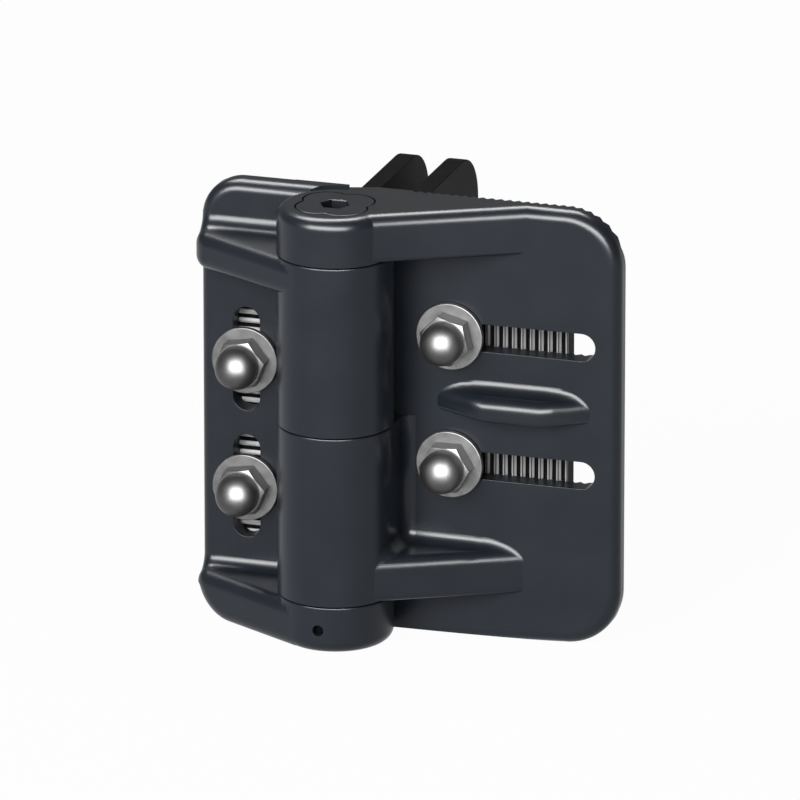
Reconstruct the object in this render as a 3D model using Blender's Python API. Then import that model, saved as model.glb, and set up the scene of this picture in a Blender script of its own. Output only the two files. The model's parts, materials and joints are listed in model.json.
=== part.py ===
"""Self-closing gate hinge: two moulded leaves on toothed metal brackets, turning on a sprung tube.

The post leaf (left) carries the second and fourth knuckles of the barrel, the gate leaf (right)
carries the first and third. A torsion spring inside the hinge tube closes the gate. Its upper end
sits in the lobed tension adjuster in the top knuckle, its lower end in the plug at the bottom.

Frame: +X to the gate side, +Y back towards post and gate, +Z up. The origin is on the back face of
the post bracket, half-way between its two studs. Units are metres.
"""

import math

import bmesh
import bpy
from mathutils import Matrix, Vector

# Fits and facets
GAP = 0.0003                 # between pieces that touch or slide
OVERCUT = 0.002              # how far a cutter runs past what it cuts
SINK = 0.0012                # how deep a joined form is rooted in its neighbour
FEATHER = 0.00003            # a cove's edge dips this far under the face it runs into
TOLERANCE = 1e-6
BARREL_SIDES = 40
RING_SIDES = 28
SMALL_SIDES = 20
WASHER_SIDES = 32
SLOT_STEPS = 6               # facets in a slot's round end
FILLET_STEPS = 3             # facets in a quarter turn of a fillet
UNDER_STEPS = 2              # facets in a quarter turn of an underside's fillet
CORNER_STEPS = 6             # facets in a quarter turn of a leaf's corner
CORNER_ANGLES = (60, 75, 90)                 # where an arm's end is sampled along that corner, past its rim
RUN_OUT = (0.22, 0.15, 0.09, 0.045, 0.015)   # where a slope's foot is sampled, as shares of its length
RIB_SAMPLES = 200            # places tried for a cove's ball along a rib
EDGE_ANGLE = 25              # an outer edge sharper than this, in degrees, can be rounded
FLAT_ANGLE = 0.4             # faces that differ by less than this are one flat face
SHARP_ANGLE = 35             # an edge sharper than this is left sharp in the shading
NUT_SHARP_ANGLE = 25
SPRING_SHARP_ANGLE = 50

# Leaves
LEAF_HEIGHT = 0.110
PLATE_THICKNESS = 0.0055
GATE_REACH = 0.0683          # hinge axis to the gate leaf's outer edge
POST_MARGIN = 0.0118         # post bolts to the post leaf's outer edge
GATE_CORNER = 0.014
POST_CORNER = 0.010
EDGE_ROUND = 0.0030
LEAF_SPLIT = 0.0010          # the parting line behind the barrel, this far left of the axis
LEAF_PARTING = 0.0004        # half the slit at that line
BACK_RELIEF_X = 0.0060       # the gate leaf's inner back edge is cut away from here
BACK_RELIEF_DEPTH = 0.0020

# Barrel
AXIS_FORWARD = 0.0158        # leaf's back plane to the hinge axis
BARREL_RADIUS = 0.01415
KNUCKLE_CLEARANCE = 0.00075  # between a knuckle and the other leaf's hollow
END_KNUCKLE = 0.012          # height of the top and the bottom knuckle
WALL_FILLET = 0.0035
SEAM_CHAMFER = 0.00025

# Web and gusset of the gate leaf
WEB_SETBACK = 0.00195        # the web's front plane inside the barrel's outside
WEB_MARGIN = 0.0235          # where that plane runs out on the plate to the leaf's outer edge
WEB_START = 0.0071           # the web's and the gusset's inner end, hidden in the barrel
WEB_UNDER_ROUND = 0.0015
GUSSET_HEIGHT = 0.0105
GUSSET_ROUND = 0.0030
GUSSET_RUN_OUT = 0.0143      # length over which the gusset's top dips to the plate
CREASE_STEPS = 6             # facets of the cove that runs round the third knuckle
CREASE_TILT = 0.2            # flattest crossing of that cove and the gusset's brow

# Boss between the gate leaf's slots
BOSS_HEIGHT = 0.0051
BOSS_RISE = 0.0077
BOSS_RISING = 0.0134         # length of the slope nearer the barrel
BOSS_FALLING = 0.0110        # length of the other slope
BOSS_SHORT = 0.0011          # how far the boss stops short of the slots' outer ends
BOSS_ROUND = 0.0022
BOSS_UNDER_ROUND = 0.0010
BOSS_SHARES = (0.015, 0.1, 0.25, 0.45, 0.7)

# Arms of the post leaf
ARM_HEIGHT = 0.0092
ARM_END_RISE = 0.0050        # how proud the arm stands at the leaf's edge
ARM_ROUND = 0.0035
ARM_FILLET = 0.0038
ARM_UNDER_FILLET = 0.0025
ARM_MIDDLE = 0.0227          # hinge axis to where an arm's section has settled

# Bolts and slots
GATE_BOLT_DEPTH = 0.0338     # leaf's top to the upper gate bolt
STUD_RADIUS = 0.00315
STUD_HEAD_RADIUS = 0.0052
STUD_HEAD_THICKNESS = 0.0015
STUD_END_CHAMFER = 0.0006
SLOT_WIDTH = 0.0069
SLOT_OVER = 0.01045          # plate between the upper arm and the upper upright slot
SLOT_UNDER = 0.00745         # plate between the lower upright slot and the lower arm
SLOT_RIB = 0.0061            # plate between the two upright slots
GATE_SLOT_MARGIN = 0.0060    # plate between the level slots and the leaf's outer edge
WASHER_RADIUS = 0.00835
WASHER_BORE = 0.0035
WASHER_THICKNESS = 0.0014
NUT_ACROSS_FLATS = 0.0111
NUT_HEX_HEIGHT = 0.0042
NUT_DOME_RADIUS = 0.0052
NUT_DOME_STEPS = 5
NUT_HEIGHT = 0.0112
NUT_BORE_DEPTH = 0.0080
NUT_CHAMFER_ANGLE = math.radians(30)
NUT_TURNS = {"post": (9, 9), "gate": (44, 1)}

# Brackets
BRACKET_THICKNESS = 0.0042
TOOTH_PITCH = 0.00225
TOOTH_DEPTH = 0.0011
TOOTH_CLEARANCE = 0.0004
TOOTH_SETBACK = 0.0001       # the leaves' teeth end this far under the leaves' back
TOOTH_LEAD = 0.00018         # leaf's top to the level tooth root above it
GATE_TEETH_START = 0.0145
POST_TEETH_START = 0.0150
BRACKET_INSET = 0.0022       # bracket's top and bottom inside the leaf's
BRACKET_CORNER = 0.005
POST_BRACKET_MARGIN = 0.0090     # post bolts to the post bracket's outer edge
GATE_BRACKET_MARGIN = 0.0280     # gate bolts to the gate bracket's outer edge
LEG_THICKNESS = 0.0048
POST_LEG_START = -0.0003
GATE_LEG_START = 0.0123
LEG_REACH = 0.0455           # leaf's back plane to the leg's tip
LEG_CORNER = 0.0128
LEG_HOLE_RADIUS = 0.00275
LEG_HOLE_INSET = 0.0228      # leg's top and bottom to its screw holes
LEG_HOLE_REACH = 0.028       # leaf's back plane to the leg's screw holes

# Hinge tube and what turns on it
TUBE_RADIUS = 0.0090
TUBE_WALL = 0.0014
BUSH_WALL = 0.0010
LONG_BUSH_HEIGHT = 0.012
THRUST_WASHER_THICKNESS = 0.0012
THRUST_WASHER_INSET = 0.00195     # thrust washer's edge inside the barrel's outside

# Tension adjuster, spring and its lower plug
LOBE_RADIUS = 0.0100
LOBE_WAIST = 0.0079
LOBE_THICKNESS = 0.0024
LOBES = 4
LOBE_STEPS = 6
ADJUSTER_TRAVEL = 0.0028
ADJUSTER_FLANGE = 0.0012
ADJUSTER_STEM = 0.009
SPIGOT_LENGTH = 0.006
HEX_ACROSS_FLATS = 0.0064
HEX_DEPTH = 0.006
WIRE_RADIUS = 0.0012
WIRE_SIDES = 5
COIL_RADIUS = 0.0059
COIL_TURNS = 18
COIL_STEPS = 8
TAIL_LENGTH = 0.0035
TAIL_HOLE_SIDES = 8
PLUG_FLANGE = 0.0075
PLUG_STEM = 0.004
PLUG_RECESS = 0.0006
PIN_COVER = 0.0007           # plug left above the cross pin's hole
PIN_RADIUS = 0.0011
PIN_RECESS = 0.0015
PIN_REACH = 0.0045           # the pin's inner end from the hinge axis
PIN_SIDES = 12

# Places worked out from the sizes above
LEAF_BACK = -(BRACKET_THICKNESS + TOOTH_CLEARANCE)
LEAF_FRONT = LEAF_BACK - PLATE_THICKNESS
HALF_GAP = GAP / 2
BOLT_OFFSET = BARREL_RADIUS + WALL_FILLET + WASHER_RADIUS
POST_REACH = BOLT_OFFSET + POST_MARGIN
POST_SLOTS_HEIGHT = LEAF_HEIGHT - 2 * END_KNUCKLE - ARM_HEIGHT - SLOT_OVER - SLOT_UNDER
POST_SLOT_LENGTH = (POST_SLOTS_HEIGHT - SLOT_RIB) / 2
BOLT_PITCH = POST_SLOT_LENGTH + SLOT_RIB
POST_BOLT_DEPTH = END_KNUCKLE + HALF_GAP + ARM_HEIGHT + SLOT_OVER + POST_SLOT_LENGTH / 2
WEB_AXIS_DISTANCE = BARREL_RADIUS - WEB_SETBACK
WEB_FOOT = GATE_REACH - WEB_MARGIN
GUSSET_STRAIGHT = WEB_FOOT - GUSSET_RUN_OUT
THRUST_WASHER_RADIUS = BARREL_RADIUS - THRUST_WASHER_INSET
GATE_SLOT_START = BOLT_OFFSET - SLOT_WIDTH / 2
GATE_SLOT_END = GATE_REACH - GATE_SLOT_MARGIN
AXIS = Vector((BOLT_OFFSET, LEAF_BACK - AXIS_FORWARD, 0.0))
TOP = POST_BOLT_DEPTH + BOLT_PITCH / 2
BOTTOM = TOP - LEAF_HEIGHT
SEAMS = (TOP - END_KNUCKLE, TOP - LEAF_HEIGHT / 2, BOTTOM + END_KNUCKLE)
OVER_SEAM = [level + HALF_GAP for level in SEAMS]
UNDER_SEAM = [level - HALF_GAP for level in SEAMS]
HOLLOW_RADIUS = BARREL_RADIUS + KNUCKLE_CLEARANCE
FRONT_DISTANCE = AXIS_FORWARD - PLATE_THICKNESS      # hinge axis to the plates' front
TUBE_BORE = TUBE_RADIUS - TUBE_WALL
FIXED_BORE = TUBE_RADIUS + GAP
TURNING_BORE = TUBE_RADIUS + 2 * GAP
BUSH_RADIUS = FIXED_BORE + BUSH_WALL
BUSH_SEAT = BUSH_RADIUS + GAP
THRUST_SEAT_DEPTH = THRUST_WASHER_THICKNESS + GAP
RECESS_DEPTH = LOBE_THICKNESS + GAP
FLANGE_TOP = TOP - RECESS_DEPTH - GAP
FLANGE_BOTTOM = FLANGE_TOP - ADJUSTER_FLANGE
TUBE_TOP = FLANGE_BOTTOM - ADJUSTER_TRAVEL - GAP
PLUG_BOTTOM = BOTTOM + PLUG_RECESS
PLUG_TOP = PLUG_BOTTOM + PLUG_FLANGE
TUBE_BOTTOM = PLUG_TOP + GAP
STEM_RADIUS = TUBE_BORE - GAP
SPIGOT_RADIUS = COIL_RADIUS - WIRE_RADIUS - GAP
STEM_BOTTOM = FLANGE_BOTTOM - ADJUSTER_STEM
STEM_TOP = TUBE_BOTTOM + PLUG_STEM
PIN_HOLE = PIN_RADIUS + GAP
PIN_LEVEL = PLUG_TOP - PIN_COVER - PIN_HOLE
POST_BOLTS = (TOP - POST_BOLT_DEPTH, TOP - POST_BOLT_DEPTH - BOLT_PITCH)
GATE_BOLTS = (TOP - GATE_BOLT_DEPTH, TOP - GATE_BOLT_DEPTH - BOLT_PITCH)
POST_BOLT_X = AXIS.x - BOLT_OFFSET
GATE_BOLT_X = AXIS.x + BOLT_OFFSET
WASHER_BACK = LEAF_FRONT - GAP
NUT_BACK = WASHER_BACK - WASHER_THICKNESS - GAP
STUD_END = NUT_BACK - NUT_BORE_DEPTH + GAP


def clear_scene():
    """Removes whatever the file holds."""
    for item in list(bpy.data.objects):
        bpy.data.objects.remove(item)


def material(name, colour, roughness, metallic=0.0):
    """One Principled material for a kind of piece."""
    made = bpy.data.materials.new(name)
    made.use_nodes = True
    shader = made.node_tree.nodes["Principled BSDF"]
    shader.inputs["Base Color"].default_value = (*colour, 1.0)
    shader.inputs["Roughness"].default_value = roughness
    shader.inputs["Metallic"].default_value = metallic
    return made


def add_object(name, bm, finish=None):
    """Turns a bmesh into an object with its faces pointing out."""
    bmesh.ops.recalc_face_normals(bm, faces=bm.faces)
    mesh = bpy.data.meshes.new(name)
    bm.to_mesh(mesh)
    bm.free()
    made = bpy.data.objects.new(name, mesh)
    bpy.context.scene.collection.objects.link(made)
    if finish:
        mesh.materials.append(finish)
    return made


def arc(centre, radius, start, end, steps):
    """Points from one angle to another, in degrees, both ends included."""
    angles = [math.radians(start + (end - start) * i / steps) for i in range(steps + 1)]
    return [(centre[0] + radius * math.cos(a), centre[1] + radius * math.sin(a)) for a in angles]


def circle(centre, radius, sides):
    """Points once round, the last one left out."""
    return arc(centre, radius, 0, 360, sides)[:-1]


def hexagon(centre, across_flats, turn):
    """The six corners of a hexagon, the first at the given angle in degrees."""
    return arc(centre, across_flats / math.sqrt(3), turn, turn + 360, 6)[:-1]


def box_outline(low, high):
    """The four corners of a rectangle."""
    return [(low[0], low[1]), (high[0], low[1]), (high[0], high[1]), (low[0], high[1])]


def prism(name, outline, axis, start, end, finish=None):
    """A flat outline pushed along X (outline in y, z), Y (in x, z) or Z (in x, y)."""
    place = {
        "X": lambda u, v: (start, u, v),
        "Y": lambda u, v: (u, start, v),
        "Z": lambda u, v: (u, v, start),
    }[axis]
    push = {"X": (end - start, 0, 0), "Y": (0, end - start, 0), "Z": (0, 0, end - start)}[axis]
    bm = bmesh.new()
    face = bm.faces.new([bm.verts.new(place(u, v)) for u, v in outline])
    grown = bmesh.ops.extrude_face_region(bm, geom=[face])["geom"]
    moved = [item for item in grown if isinstance(item, bmesh.types.BMVert)]
    bmesh.ops.translate(bm, verts=moved, vec=push)
    return add_object(name, bm, finish)


def turned(name, profile, sides, centre, finish=None, axis="Z"):
    """A closed profile of (radius, height) points spun once round; along Y it points to the front."""
    bm = bmesh.new()
    points = [bm.verts.new((radius, 0.0, height)) for radius, height in profile]
    pairs = zip(points, points[1:] + points[:1])
    edges = [bm.edges.new(pair) for pair in pairs if max(pair[0].co.x, pair[1].co.x) > TOLERANCE]
    bmesh.ops.spin(bm, geom=points + edges, cent=(0, 0, 0), axis=(0, 0, 1), dvec=(0, 0, 0),
                   angle=2 * math.pi, steps=sides, use_merge=True)
    bmesh.ops.remove_doubles(bm, verts=bm.verts, dist=TOLERANCE)
    if axis == "Y":
        turn = Matrix.Rotation(math.pi / 2, 3, "X")
        bmesh.ops.rotate(bm, verts=bm.verts, cent=(0, 0, 0), matrix=turn)
    bmesh.ops.translate(bm, verts=bm.verts, vec=centre)
    return add_object(name, bm, finish)


def ring(name, inner, outer, low, high, finish):
    """A plain ring on the hinge axis."""
    profile = [(inner, low), (outer, low), (outer, high), (inner, high)]
    return finish_round(turned(name, profile, RING_SIDES, AXIS, finish))


def combine(base, others, operation):
    """Joins, cuts or intersects the base with other solids, which are used up."""
    for other in others:
        step = base.modifiers.new(operation.lower(), "BOOLEAN")
        step.operation = operation
        step.solver = "EXACT"
        step.object = other
    evaluated = base.evaluated_get(bpy.context.evaluated_depsgraph_get())
    result = bpy.data.meshes.new_from_object(evaluated)
    base.modifiers.clear()
    result.name = base.name
    base.data = result
    for other in others:
        bpy.data.objects.remove(other)
    return base


def tidy_faces(solid):
    """Takes out the points and edges that a join leaves in flat faces."""
    bm = bmesh.new()
    bm.from_mesh(solid.data)
    bmesh.ops.remove_doubles(bm, verts=bm.verts, dist=2 * TOLERANCE)
    bmesh.ops.dissolve_limit(bm, angle_limit=math.radians(FLAT_ANGLE), verts=bm.verts, edges=bm.edges)
    bm.to_mesh(solid.data)
    bm.free()
    return solid


def round_edges(solid, wanted, radius, steps):
    """Rounds each sharp outer edge for which wanted(start, end) is true."""
    bm = bmesh.new()
    bm.from_mesh(solid.data)
    chosen = [
        edge for edge in bm.edges
        if len(edge.link_faces) == 2
        and edge.calc_face_angle_signed() > math.radians(EDGE_ANGLE)
        and wanted(edge.verts[0].co, edge.verts[1].co)
    ]
    bmesh.ops.bevel(bm, geom=chosen, offset=radius, offset_type="OFFSET", segments=steps,
                    profile=0.5, affect="EDGES", material=-1, clamp_overlap=False)
    bm.to_mesh(solid.data)
    bm.free()
    return solid


def finish_round(solid, angle=SHARP_ANGLE):
    """Shades a finished piece smooth, with its real corners kept sharp."""
    solid.data.shade_smooth()
    solid.data.set_sharp_from_angle(angle=math.radians(angle))
    return solid


def rib_profile(depth, across, height, fillet):
    """Upper outline of a rib that stands depth proud: the cove at its root, then its rounded brow.

    Points are (depth, height above the rib's flat top). The brow is a quarter ellipse, across by
    height. The cove is where a ball of the fillet's radius rests against the wall and the rib.
    """
    def surface(t):
        over = t - (depth - across)
        return 0.0 if over <= 0 else height * (math.sqrt(max(0.0, 1 - (over / across) ** 2)) - 1)

    reach = min(depth, 2 * fillet)
    samples = [reach * i / RIB_SAMPLES for i in range(RIB_SAMPLES + 1)]
    lifts = [surface(t) + math.sqrt(max(0.0, fillet**2 - (t - fillet) ** 2)) for t in samples]
    centre = max(lifts)
    touch = samples[lifts.index(centre)]
    sweep = math.degrees(math.atan2(surface(touch) - centre, touch - fillet)) % 360
    cove = arc((fillet, centre), fillet, 180, sweep, FILLET_STEPS)
    start = math.asin(min(1.0, max(0.0, touch - (depth - across)) / across))
    turns = [start + (math.pi / 2 - start) * i / FILLET_STEPS for i in range(FILLET_STEPS + 1)]
    brow = [(depth - across + across * math.sin(a), height * (math.cos(a) - 1)) for a in turns]
    return cove, brow


def loft(name, sections):
    """A solid through closed sections that all have the same number of points."""
    bm = bmesh.new()
    rings = [[bm.verts.new(point) for point in section] for section in sections]
    count = len(rings[0])
    for near, far in zip(rings, rings[1:]):
        for i in range(count):
            j = (i + 1) % count
            bm.faces.new((near[i], near[j], far[j], far[i]))
    bm.faces.new(rings[0])
    bm.faces.new(reversed(rings[-1]))
    bmesh.ops.remove_doubles(bm, verts=bm.verts, dist=TOLERANCE)
    bmesh.ops.triangulate(bm, faces=[face for face in bm.faces if len(face.verts) == 4])
    return add_object(name, bm)


def rib(name, stations, top, drop, across, height, fillet, under_round):
    """A rib along X on the plates' front: stations are (x, depth), top is its flat top's height."""
    sections = []
    for x, depth in stations:
        inside = max(0.0, -depth) + FEATHER
        depth = max(depth, FEATHER / 3)
        cove, brow = rib_profile(depth, across, height, fillet)
        foot = arc((depth - under_round, -drop + under_round), under_round, 0, -90, UNDER_STEPS)
        root = [(-SINK, foot[-1][1]), (-SINK, cove[0][1])]
        outline = cove + brow + foot + root
        sections.append([(x, LEAF_FRONT - d + inside, top + h) for d, h in outline])
    return loft(name, sections)


def knuckle_outline(side, with_wall):
    """Plan of a knuckle: the barrel's circle, and for a long one the wall joining it to the plate."""
    if not with_wall:
        return circle(AXIS.xy, BARREL_RADIUS, BARREL_SIDES)
    quarter = BARREL_SIDES // 4
    wall = BARREL_RADIUS + WALL_FILLET
    cove = arc((wall, FRONT_DISTANCE - WALL_FILLET), WALL_FILLET, 180, 90, FILLET_STEPS)
    outline = arc((0, 0), BARREL_RADIUS, 90, 360, 3 * quarter) + cove
    outline.append((wall, FRONT_DISTANCE + SINK))
    outline.append((0.0, FRONT_DISTANCE + SINK))
    return [(AXIS.x + side * u, AXIS.y + v) for u, v in outline]


def plate_outline(inner, outer, corner):
    """Front view of a leaf's plate, with its two outer corners round."""
    way = 1 if outer > inner else -1
    x = outer - way * corner
    upper = [(x + way * u, TOP - corner + v) for u, v in arc((0, 0), corner, 90, 0, CORNER_STEPS)]
    lower = [(x + way * u, BOTTOM + corner + v) for u, v in arc((0, 0), corner, 0, -90, CORNER_STEPS)]
    if way < 0:
        lower = [(outer + inset, BOTTOM + corner_rise(inset)) for inset in corner_insets()]
    return [(inner, TOP)] + upper + lower + [(inner, BOTTOM)]


def rim_rounding():
    """The rounding along a leaf's rim: pairs of inset from the rim and depth below the face."""
    turns = [math.pi / 2 * i / FILLET_STEPS for i in range(FILLET_STEPS + 1)]
    return [(EDGE_ROUND * (1 - math.cos(a)), EDGE_ROUND * (1 - math.sin(a))) for a in turns]


def corner_insets():
    """Where the post leaf's lower corner is sampled, from the leaf's edge inwards."""
    past = [POST_CORNER * (1 - math.cos(math.radians(angle))) for angle in CORNER_ANGLES]
    return [inset for inset, _ in rim_rounding()] + past


def corner_rise(inset, inside=0.0):
    """Height above the leaf's bottom of its corner, or of a line that runs inside it."""
    across = max(0.0, POST_CORNER - inset)
    return POST_CORNER - math.sqrt(max(0.0, (POST_CORNER - inside) ** 2 - across**2))


def comb(start, end, root, tip, limit):
    """Zigzag outline of (along, depth) from root to tip and back, closed at the limit."""
    count = int(round((end - start) / TOOTH_PITCH))
    points = []
    for i in range(count):
        points.append((start + i * TOOTH_PITCH, root))
        points.append((start + (i + 0.5) * TOOTH_PITCH, tip))
    end = start + count * TOOTH_PITCH
    return points + [(end, root), (end, limit), (start, limit)]


def slot_outline(centre, length, width, upright):
    """A slot with round ends."""
    half = length / 2 - width / 2
    ends = arc((half, 0), width / 2, -90, 90, SLOT_STEPS) + arc((-half, 0), width / 2, 90, 270, SLOT_STEPS)
    if upright:
        return [(centre[0] + v, centre[1] + u) for u, v in ends]
    return [(centre[0] + u, centre[1] + v) for u, v in ends]


def lobe_outline(grow):
    """The adjuster's lobed outline, each lobe an arc between two notches, grown by a clearance."""
    offset = (LOBE_RADIUS**2 - LOBE_WAIST**2) / (2 * (math.sqrt(2) * LOBE_RADIUS - LOBE_WAIST))
    radius = LOBE_RADIUS - math.sqrt(2) * offset + grow
    sweep = math.degrees(math.asin(offset / radius))
    points = []
    half = 180 / LOBES
    distance = offset * math.sqrt(2)
    for i in range(LOBES):
        middle = half + i * 360 / LOBES
        turn = math.radians(middle)
        centre = (AXIS.x + distance * math.cos(turn), AXIS.y + distance * math.sin(turn))
        points += arc(centre, radius, middle - half - sweep, middle + half + sweep, LOBE_STEPS)[:-1]
    return points


def drum(radius, low, high):
    """A round cutter or block on the hinge axis."""
    return prism("drum", circle(AXIS.xy, radius, BARREL_SIDES), "Z", low, high)


def knuckle(side, with_wall, low, high, top_chamfer=0.0, bottom_round=0.0):
    """One knuckle, with a fine chamfer where its upper seam catches the light."""
    made = prism("knuckle", knuckle_outline(side, with_wall), "Z", low, high)
    if top_chamfer:
        round_edges(made, lambda a, b: min(a.z, b.z) > high - TOLERANCE
                    and max((a - AXIS).xy.length, (b - AXIS).xy.length) < BARREL_RADIUS + TOLERANCE,
                    top_chamfer, 1)
    if bottom_round:
        round_edges(made, lambda a, b: max(a.z, b.z) < low + TOLERANCE, bottom_round, FILLET_STEPS)
    return made


def web_plane():
    """The web's and the gusset's front plane: its slope, and its depth in front of the plate at x."""
    foot = Vector((WEB_FOOT, FRONT_DISTANCE))
    lean = math.asin(WEB_AXIS_DISTANCE / foot.length) + math.atan2(foot.y, foot.x)
    return lean, lambda x: (WEB_FOOT - x) * math.tan(lean)


def arm_plane():
    """The arms' front plane, which touches the barrel: its slope, and its depth at a distance x."""
    end = Vector((POST_REACH, ARM_END_RISE - FRONT_DISTANCE))
    lean = math.asin(BARREL_RADIUS / end.length) - math.atan2(end.y, end.x)
    return lean, lambda x: ARM_END_RISE + (POST_REACH - x) * math.tan(lean)


def web_block():
    """The sloped web between the top knuckle and the gate leaf's plate."""
    lean, depth = web_plane()
    back = FRONT_DISTANCE + SINK
    plan = [(0.0, 0.0), (WEB_START, FRONT_DISTANCE - depth(WEB_START)),
            (WEB_FOOT + SINK / math.tan(lean), back), (0.0, back)]
    outline = [(AXIS.x + u, AXIS.y + v) for u, v in plan]
    low = OVER_SEAM[0]
    made = prism("web", outline, "Z", low, TOP)
    return round_edges(made, lambda a, b: max(a.z, b.z) < low + TOLERANCE
                       and abs(a.x - b.x) > WEB_START and min(a.y, b.y) < LEAF_FRONT - EDGE_ROUND,
                       WEB_UNDER_ROUND, UNDER_STEPS)


def gusset():
    """The lower gusset: the web's plan again, with a cove to the plate."""
    lean, depth = web_plane()
    places = [WEB_START, GUSSET_STRAIGHT] + [WEB_FOOT * (1 - share) for share in RUN_OUT]
    stations = [(AXIS.x + x, depth(x)) for x in places]
    stations.append((AXIS.x + WEB_FOOT, FEATHER))
    stations.append((AXIS.x + WEB_FOOT + SINK, -SINK / 2))
    return rib("gusset", stations, OVER_SEAM[2] + GUSSET_HEIGHT, GUSSET_HEIGHT,
               GUSSET_ROUND / math.cos(lean), GUSSET_ROUND, WALL_FILLET, WEB_UNDER_ROUND)


def gusset_coves():
    """The cove between the gusset's top and the third knuckle, and the ball corner at the plate."""
    lean, _ = web_plane()
    top = OVER_SEAM[2] + GUSSET_HEIGHT
    facing = lean - math.pi / 2
    stations = []
    for y in (LEAF_FRONT + SINK, AXIS.y):
        reach = WEB_FOOT - (FRONT_DISTANCE - (y - AXIS.y)) / math.tan(lean)
        foot = Vector((AXIS.x + BARREL_RADIUS, y))
        stations.append((foot, Vector((1, 0)), reach - BARREL_RADIUS))
    crease = facing + math.acos(WEB_AXIS_DISTANCE / BARREL_RADIUS)
    for i in range(1, CREASE_STEPS + 1):
        turn = crease * i / CREASE_STEPS
        away = Vector((math.cos(turn), math.sin(turn)))
        reach = WEB_AXIS_DISTANCE / math.cos(turn - facing) - BARREL_RADIUS
        stations.append((AXIS.xy + away * BARREL_RADIUS, away, max(reach, FEATHER)))
    sections = []
    for foot, away, reach in stations:
        tilt = max(CREASE_TILT, math.cos(math.atan2(away.y, away.x) - facing))
        cove, _ = rib_profile(reach, GUSSET_ROUND / tilt, GUSSET_ROUND, WALL_FILLET)
        low = cove[-1][1] - SINK
        outline = cove + [(cove[-1][0], low), (-SINK, low), (-SINK, cove[0][1])]
        sections.append([(*(foot + away * d), top + h) for d, h in outline])
    corner = Vector((AXIS.x + BARREL_RADIUS, LEAF_FRONT, top))
    low = (corner.x - SINK, corner.y - WALL_FILLET)
    high = (corner.x + WALL_FILLET, corner.y + SINK)
    block = prism("corner", box_outline(low, high), "Z", top - SINK, top + WALL_FILLET)
    bm = bmesh.new()
    bmesh.ops.create_uvsphere(bm, u_segments=4 * FILLET_STEPS, v_segments=2 * FILLET_STEPS,
                              radius=WALL_FILLET)
    away = Vector((WALL_FILLET, -WALL_FILLET, WALL_FILLET))
    bmesh.ops.translate(bm, verts=bm.verts, vec=corner + away)
    return [loft("cove", sections), combine(block, [add_object("ball", bm)], "DIFFERENCE")]


def boss():
    """The almond-shaped boss half-way between the slots."""
    start = GATE_SLOT_START
    end = GATE_SLOT_END - BOSS_SHORT
    stations = [(start - SINK, -SINK / 2)]
    stations += [(start + BOSS_RISING * share, BOSS_RISE * share) for share in BOSS_SHARES]
    stations += [(start + BOSS_RISING, BOSS_RISE), (end - BOSS_FALLING, BOSS_RISE)]
    stations += [(end - BOSS_FALLING * share, BOSS_RISE * share) for share in reversed(BOSS_SHARES)]
    stations += [(end + SINK, -SINK / 2)]
    top = (sum(GATE_BOLTS) + BOSS_HEIGHT) / 2
    return rib("boss", [(AXIS.x + x, depth) for x, depth in stations], top, BOSS_HEIGHT,
               BOSS_ROUND, BOSS_ROUND, WALL_FILLET, BOSS_UNDER_ROUND)


def upper_foot(depth, drop, sunk, _):
    """The upper arm's rounded lower edge and the cove beneath it."""
    edge = arc((depth - EDGE_ROUND, EDGE_ROUND - drop), max(EDGE_ROUND - sunk, FEATHER), 0, -90,
               FILLET_STEPS)
    reach = min(ARM_UNDER_FILLET, depth - EDGE_ROUND)
    return edge + arc((reach, -drop - reach), reach + sunk, 90, 180, UNDER_STEPS)


def lower_foot(depth, drop, sunk, inset):
    """The lower arm's rounded edge, which follows the leaf's corner and bottom."""
    points = []
    for inside, below in reversed(rim_rounding()):
        rise = min(corner_rise(inset, inside), drop - ARM_ROUND)
        points.append((depth - max(below, sunk if inset < EDGE_ROUND else 0.0), rise - drop))
    return points


def arm(top, drop, foot):
    """One sloped arm from the post leaf's outer edge to the barrel, its end rounded like the rim."""
    lean, depth = arm_plane()
    touch = BARREL_RADIUS * math.sin(lean)
    sunk = dict(rim_rounding())
    insets = corner_insets() + [POST_REACH - ARM_MIDDLE, POST_REACH - touch, POST_REACH + touch]
    across = ARM_ROUND / math.cos(lean)
    sections = []
    for inset in insets:
        x = AXIS.x - POST_REACH + inset
        level = sunk.get(inset, 0.0)
        proud = depth(POST_REACH - inset)
        back = LEAF_FRONT + EDGE_ROUND + SINK
        if inset > POST_REACH:
            proud = depth(touch) - touch
            back = LEAF_FRONT + SINK
        cove, brow = rib_profile(proud, across - level, ARM_ROUND - level, ARM_FILLET + level)
        upper = [(x, LEAF_FRONT + FEATHER + level - d, top - level + h) for d, h in cove + brow]
        lower = [(x, LEAF_FRONT + FEATHER - d, top + h) for d, h in foot(proud, drop, level, inset)]
        root = [(x, back, lower[-1][2]), (x, back, upper[0][2])]
        sections.append(upper + lower + root)
    return loft("arm", sections)


def level_teeth(start, end, root, tip, limit):
    """Level ridges or their cutter between two places in X, over more than the leaf's height."""
    count = math.ceil(LEAF_HEIGHT / TOOTH_PITCH) + 1
    low = TOP + TOOTH_LEAD - count * TOOTH_PITCH
    outline = [(v, u) for u, v in comb(low, low + (count + 1) * TOOTH_PITCH, root, tip, limit)]
    return prism("teeth", outline, "X", start, end)


def upright_teeth(end, root, tip, limit):
    """Upright ridges or their cutter, from the gate leaf's first tooth to a place in X."""
    outline = comb(AXIS.x + GATE_TEETH_START, end, root, tip, limit)
    return prism("teeth", outline, "Z", BOTTOM - OVERCUT, TOP + OVERCUT)


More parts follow.
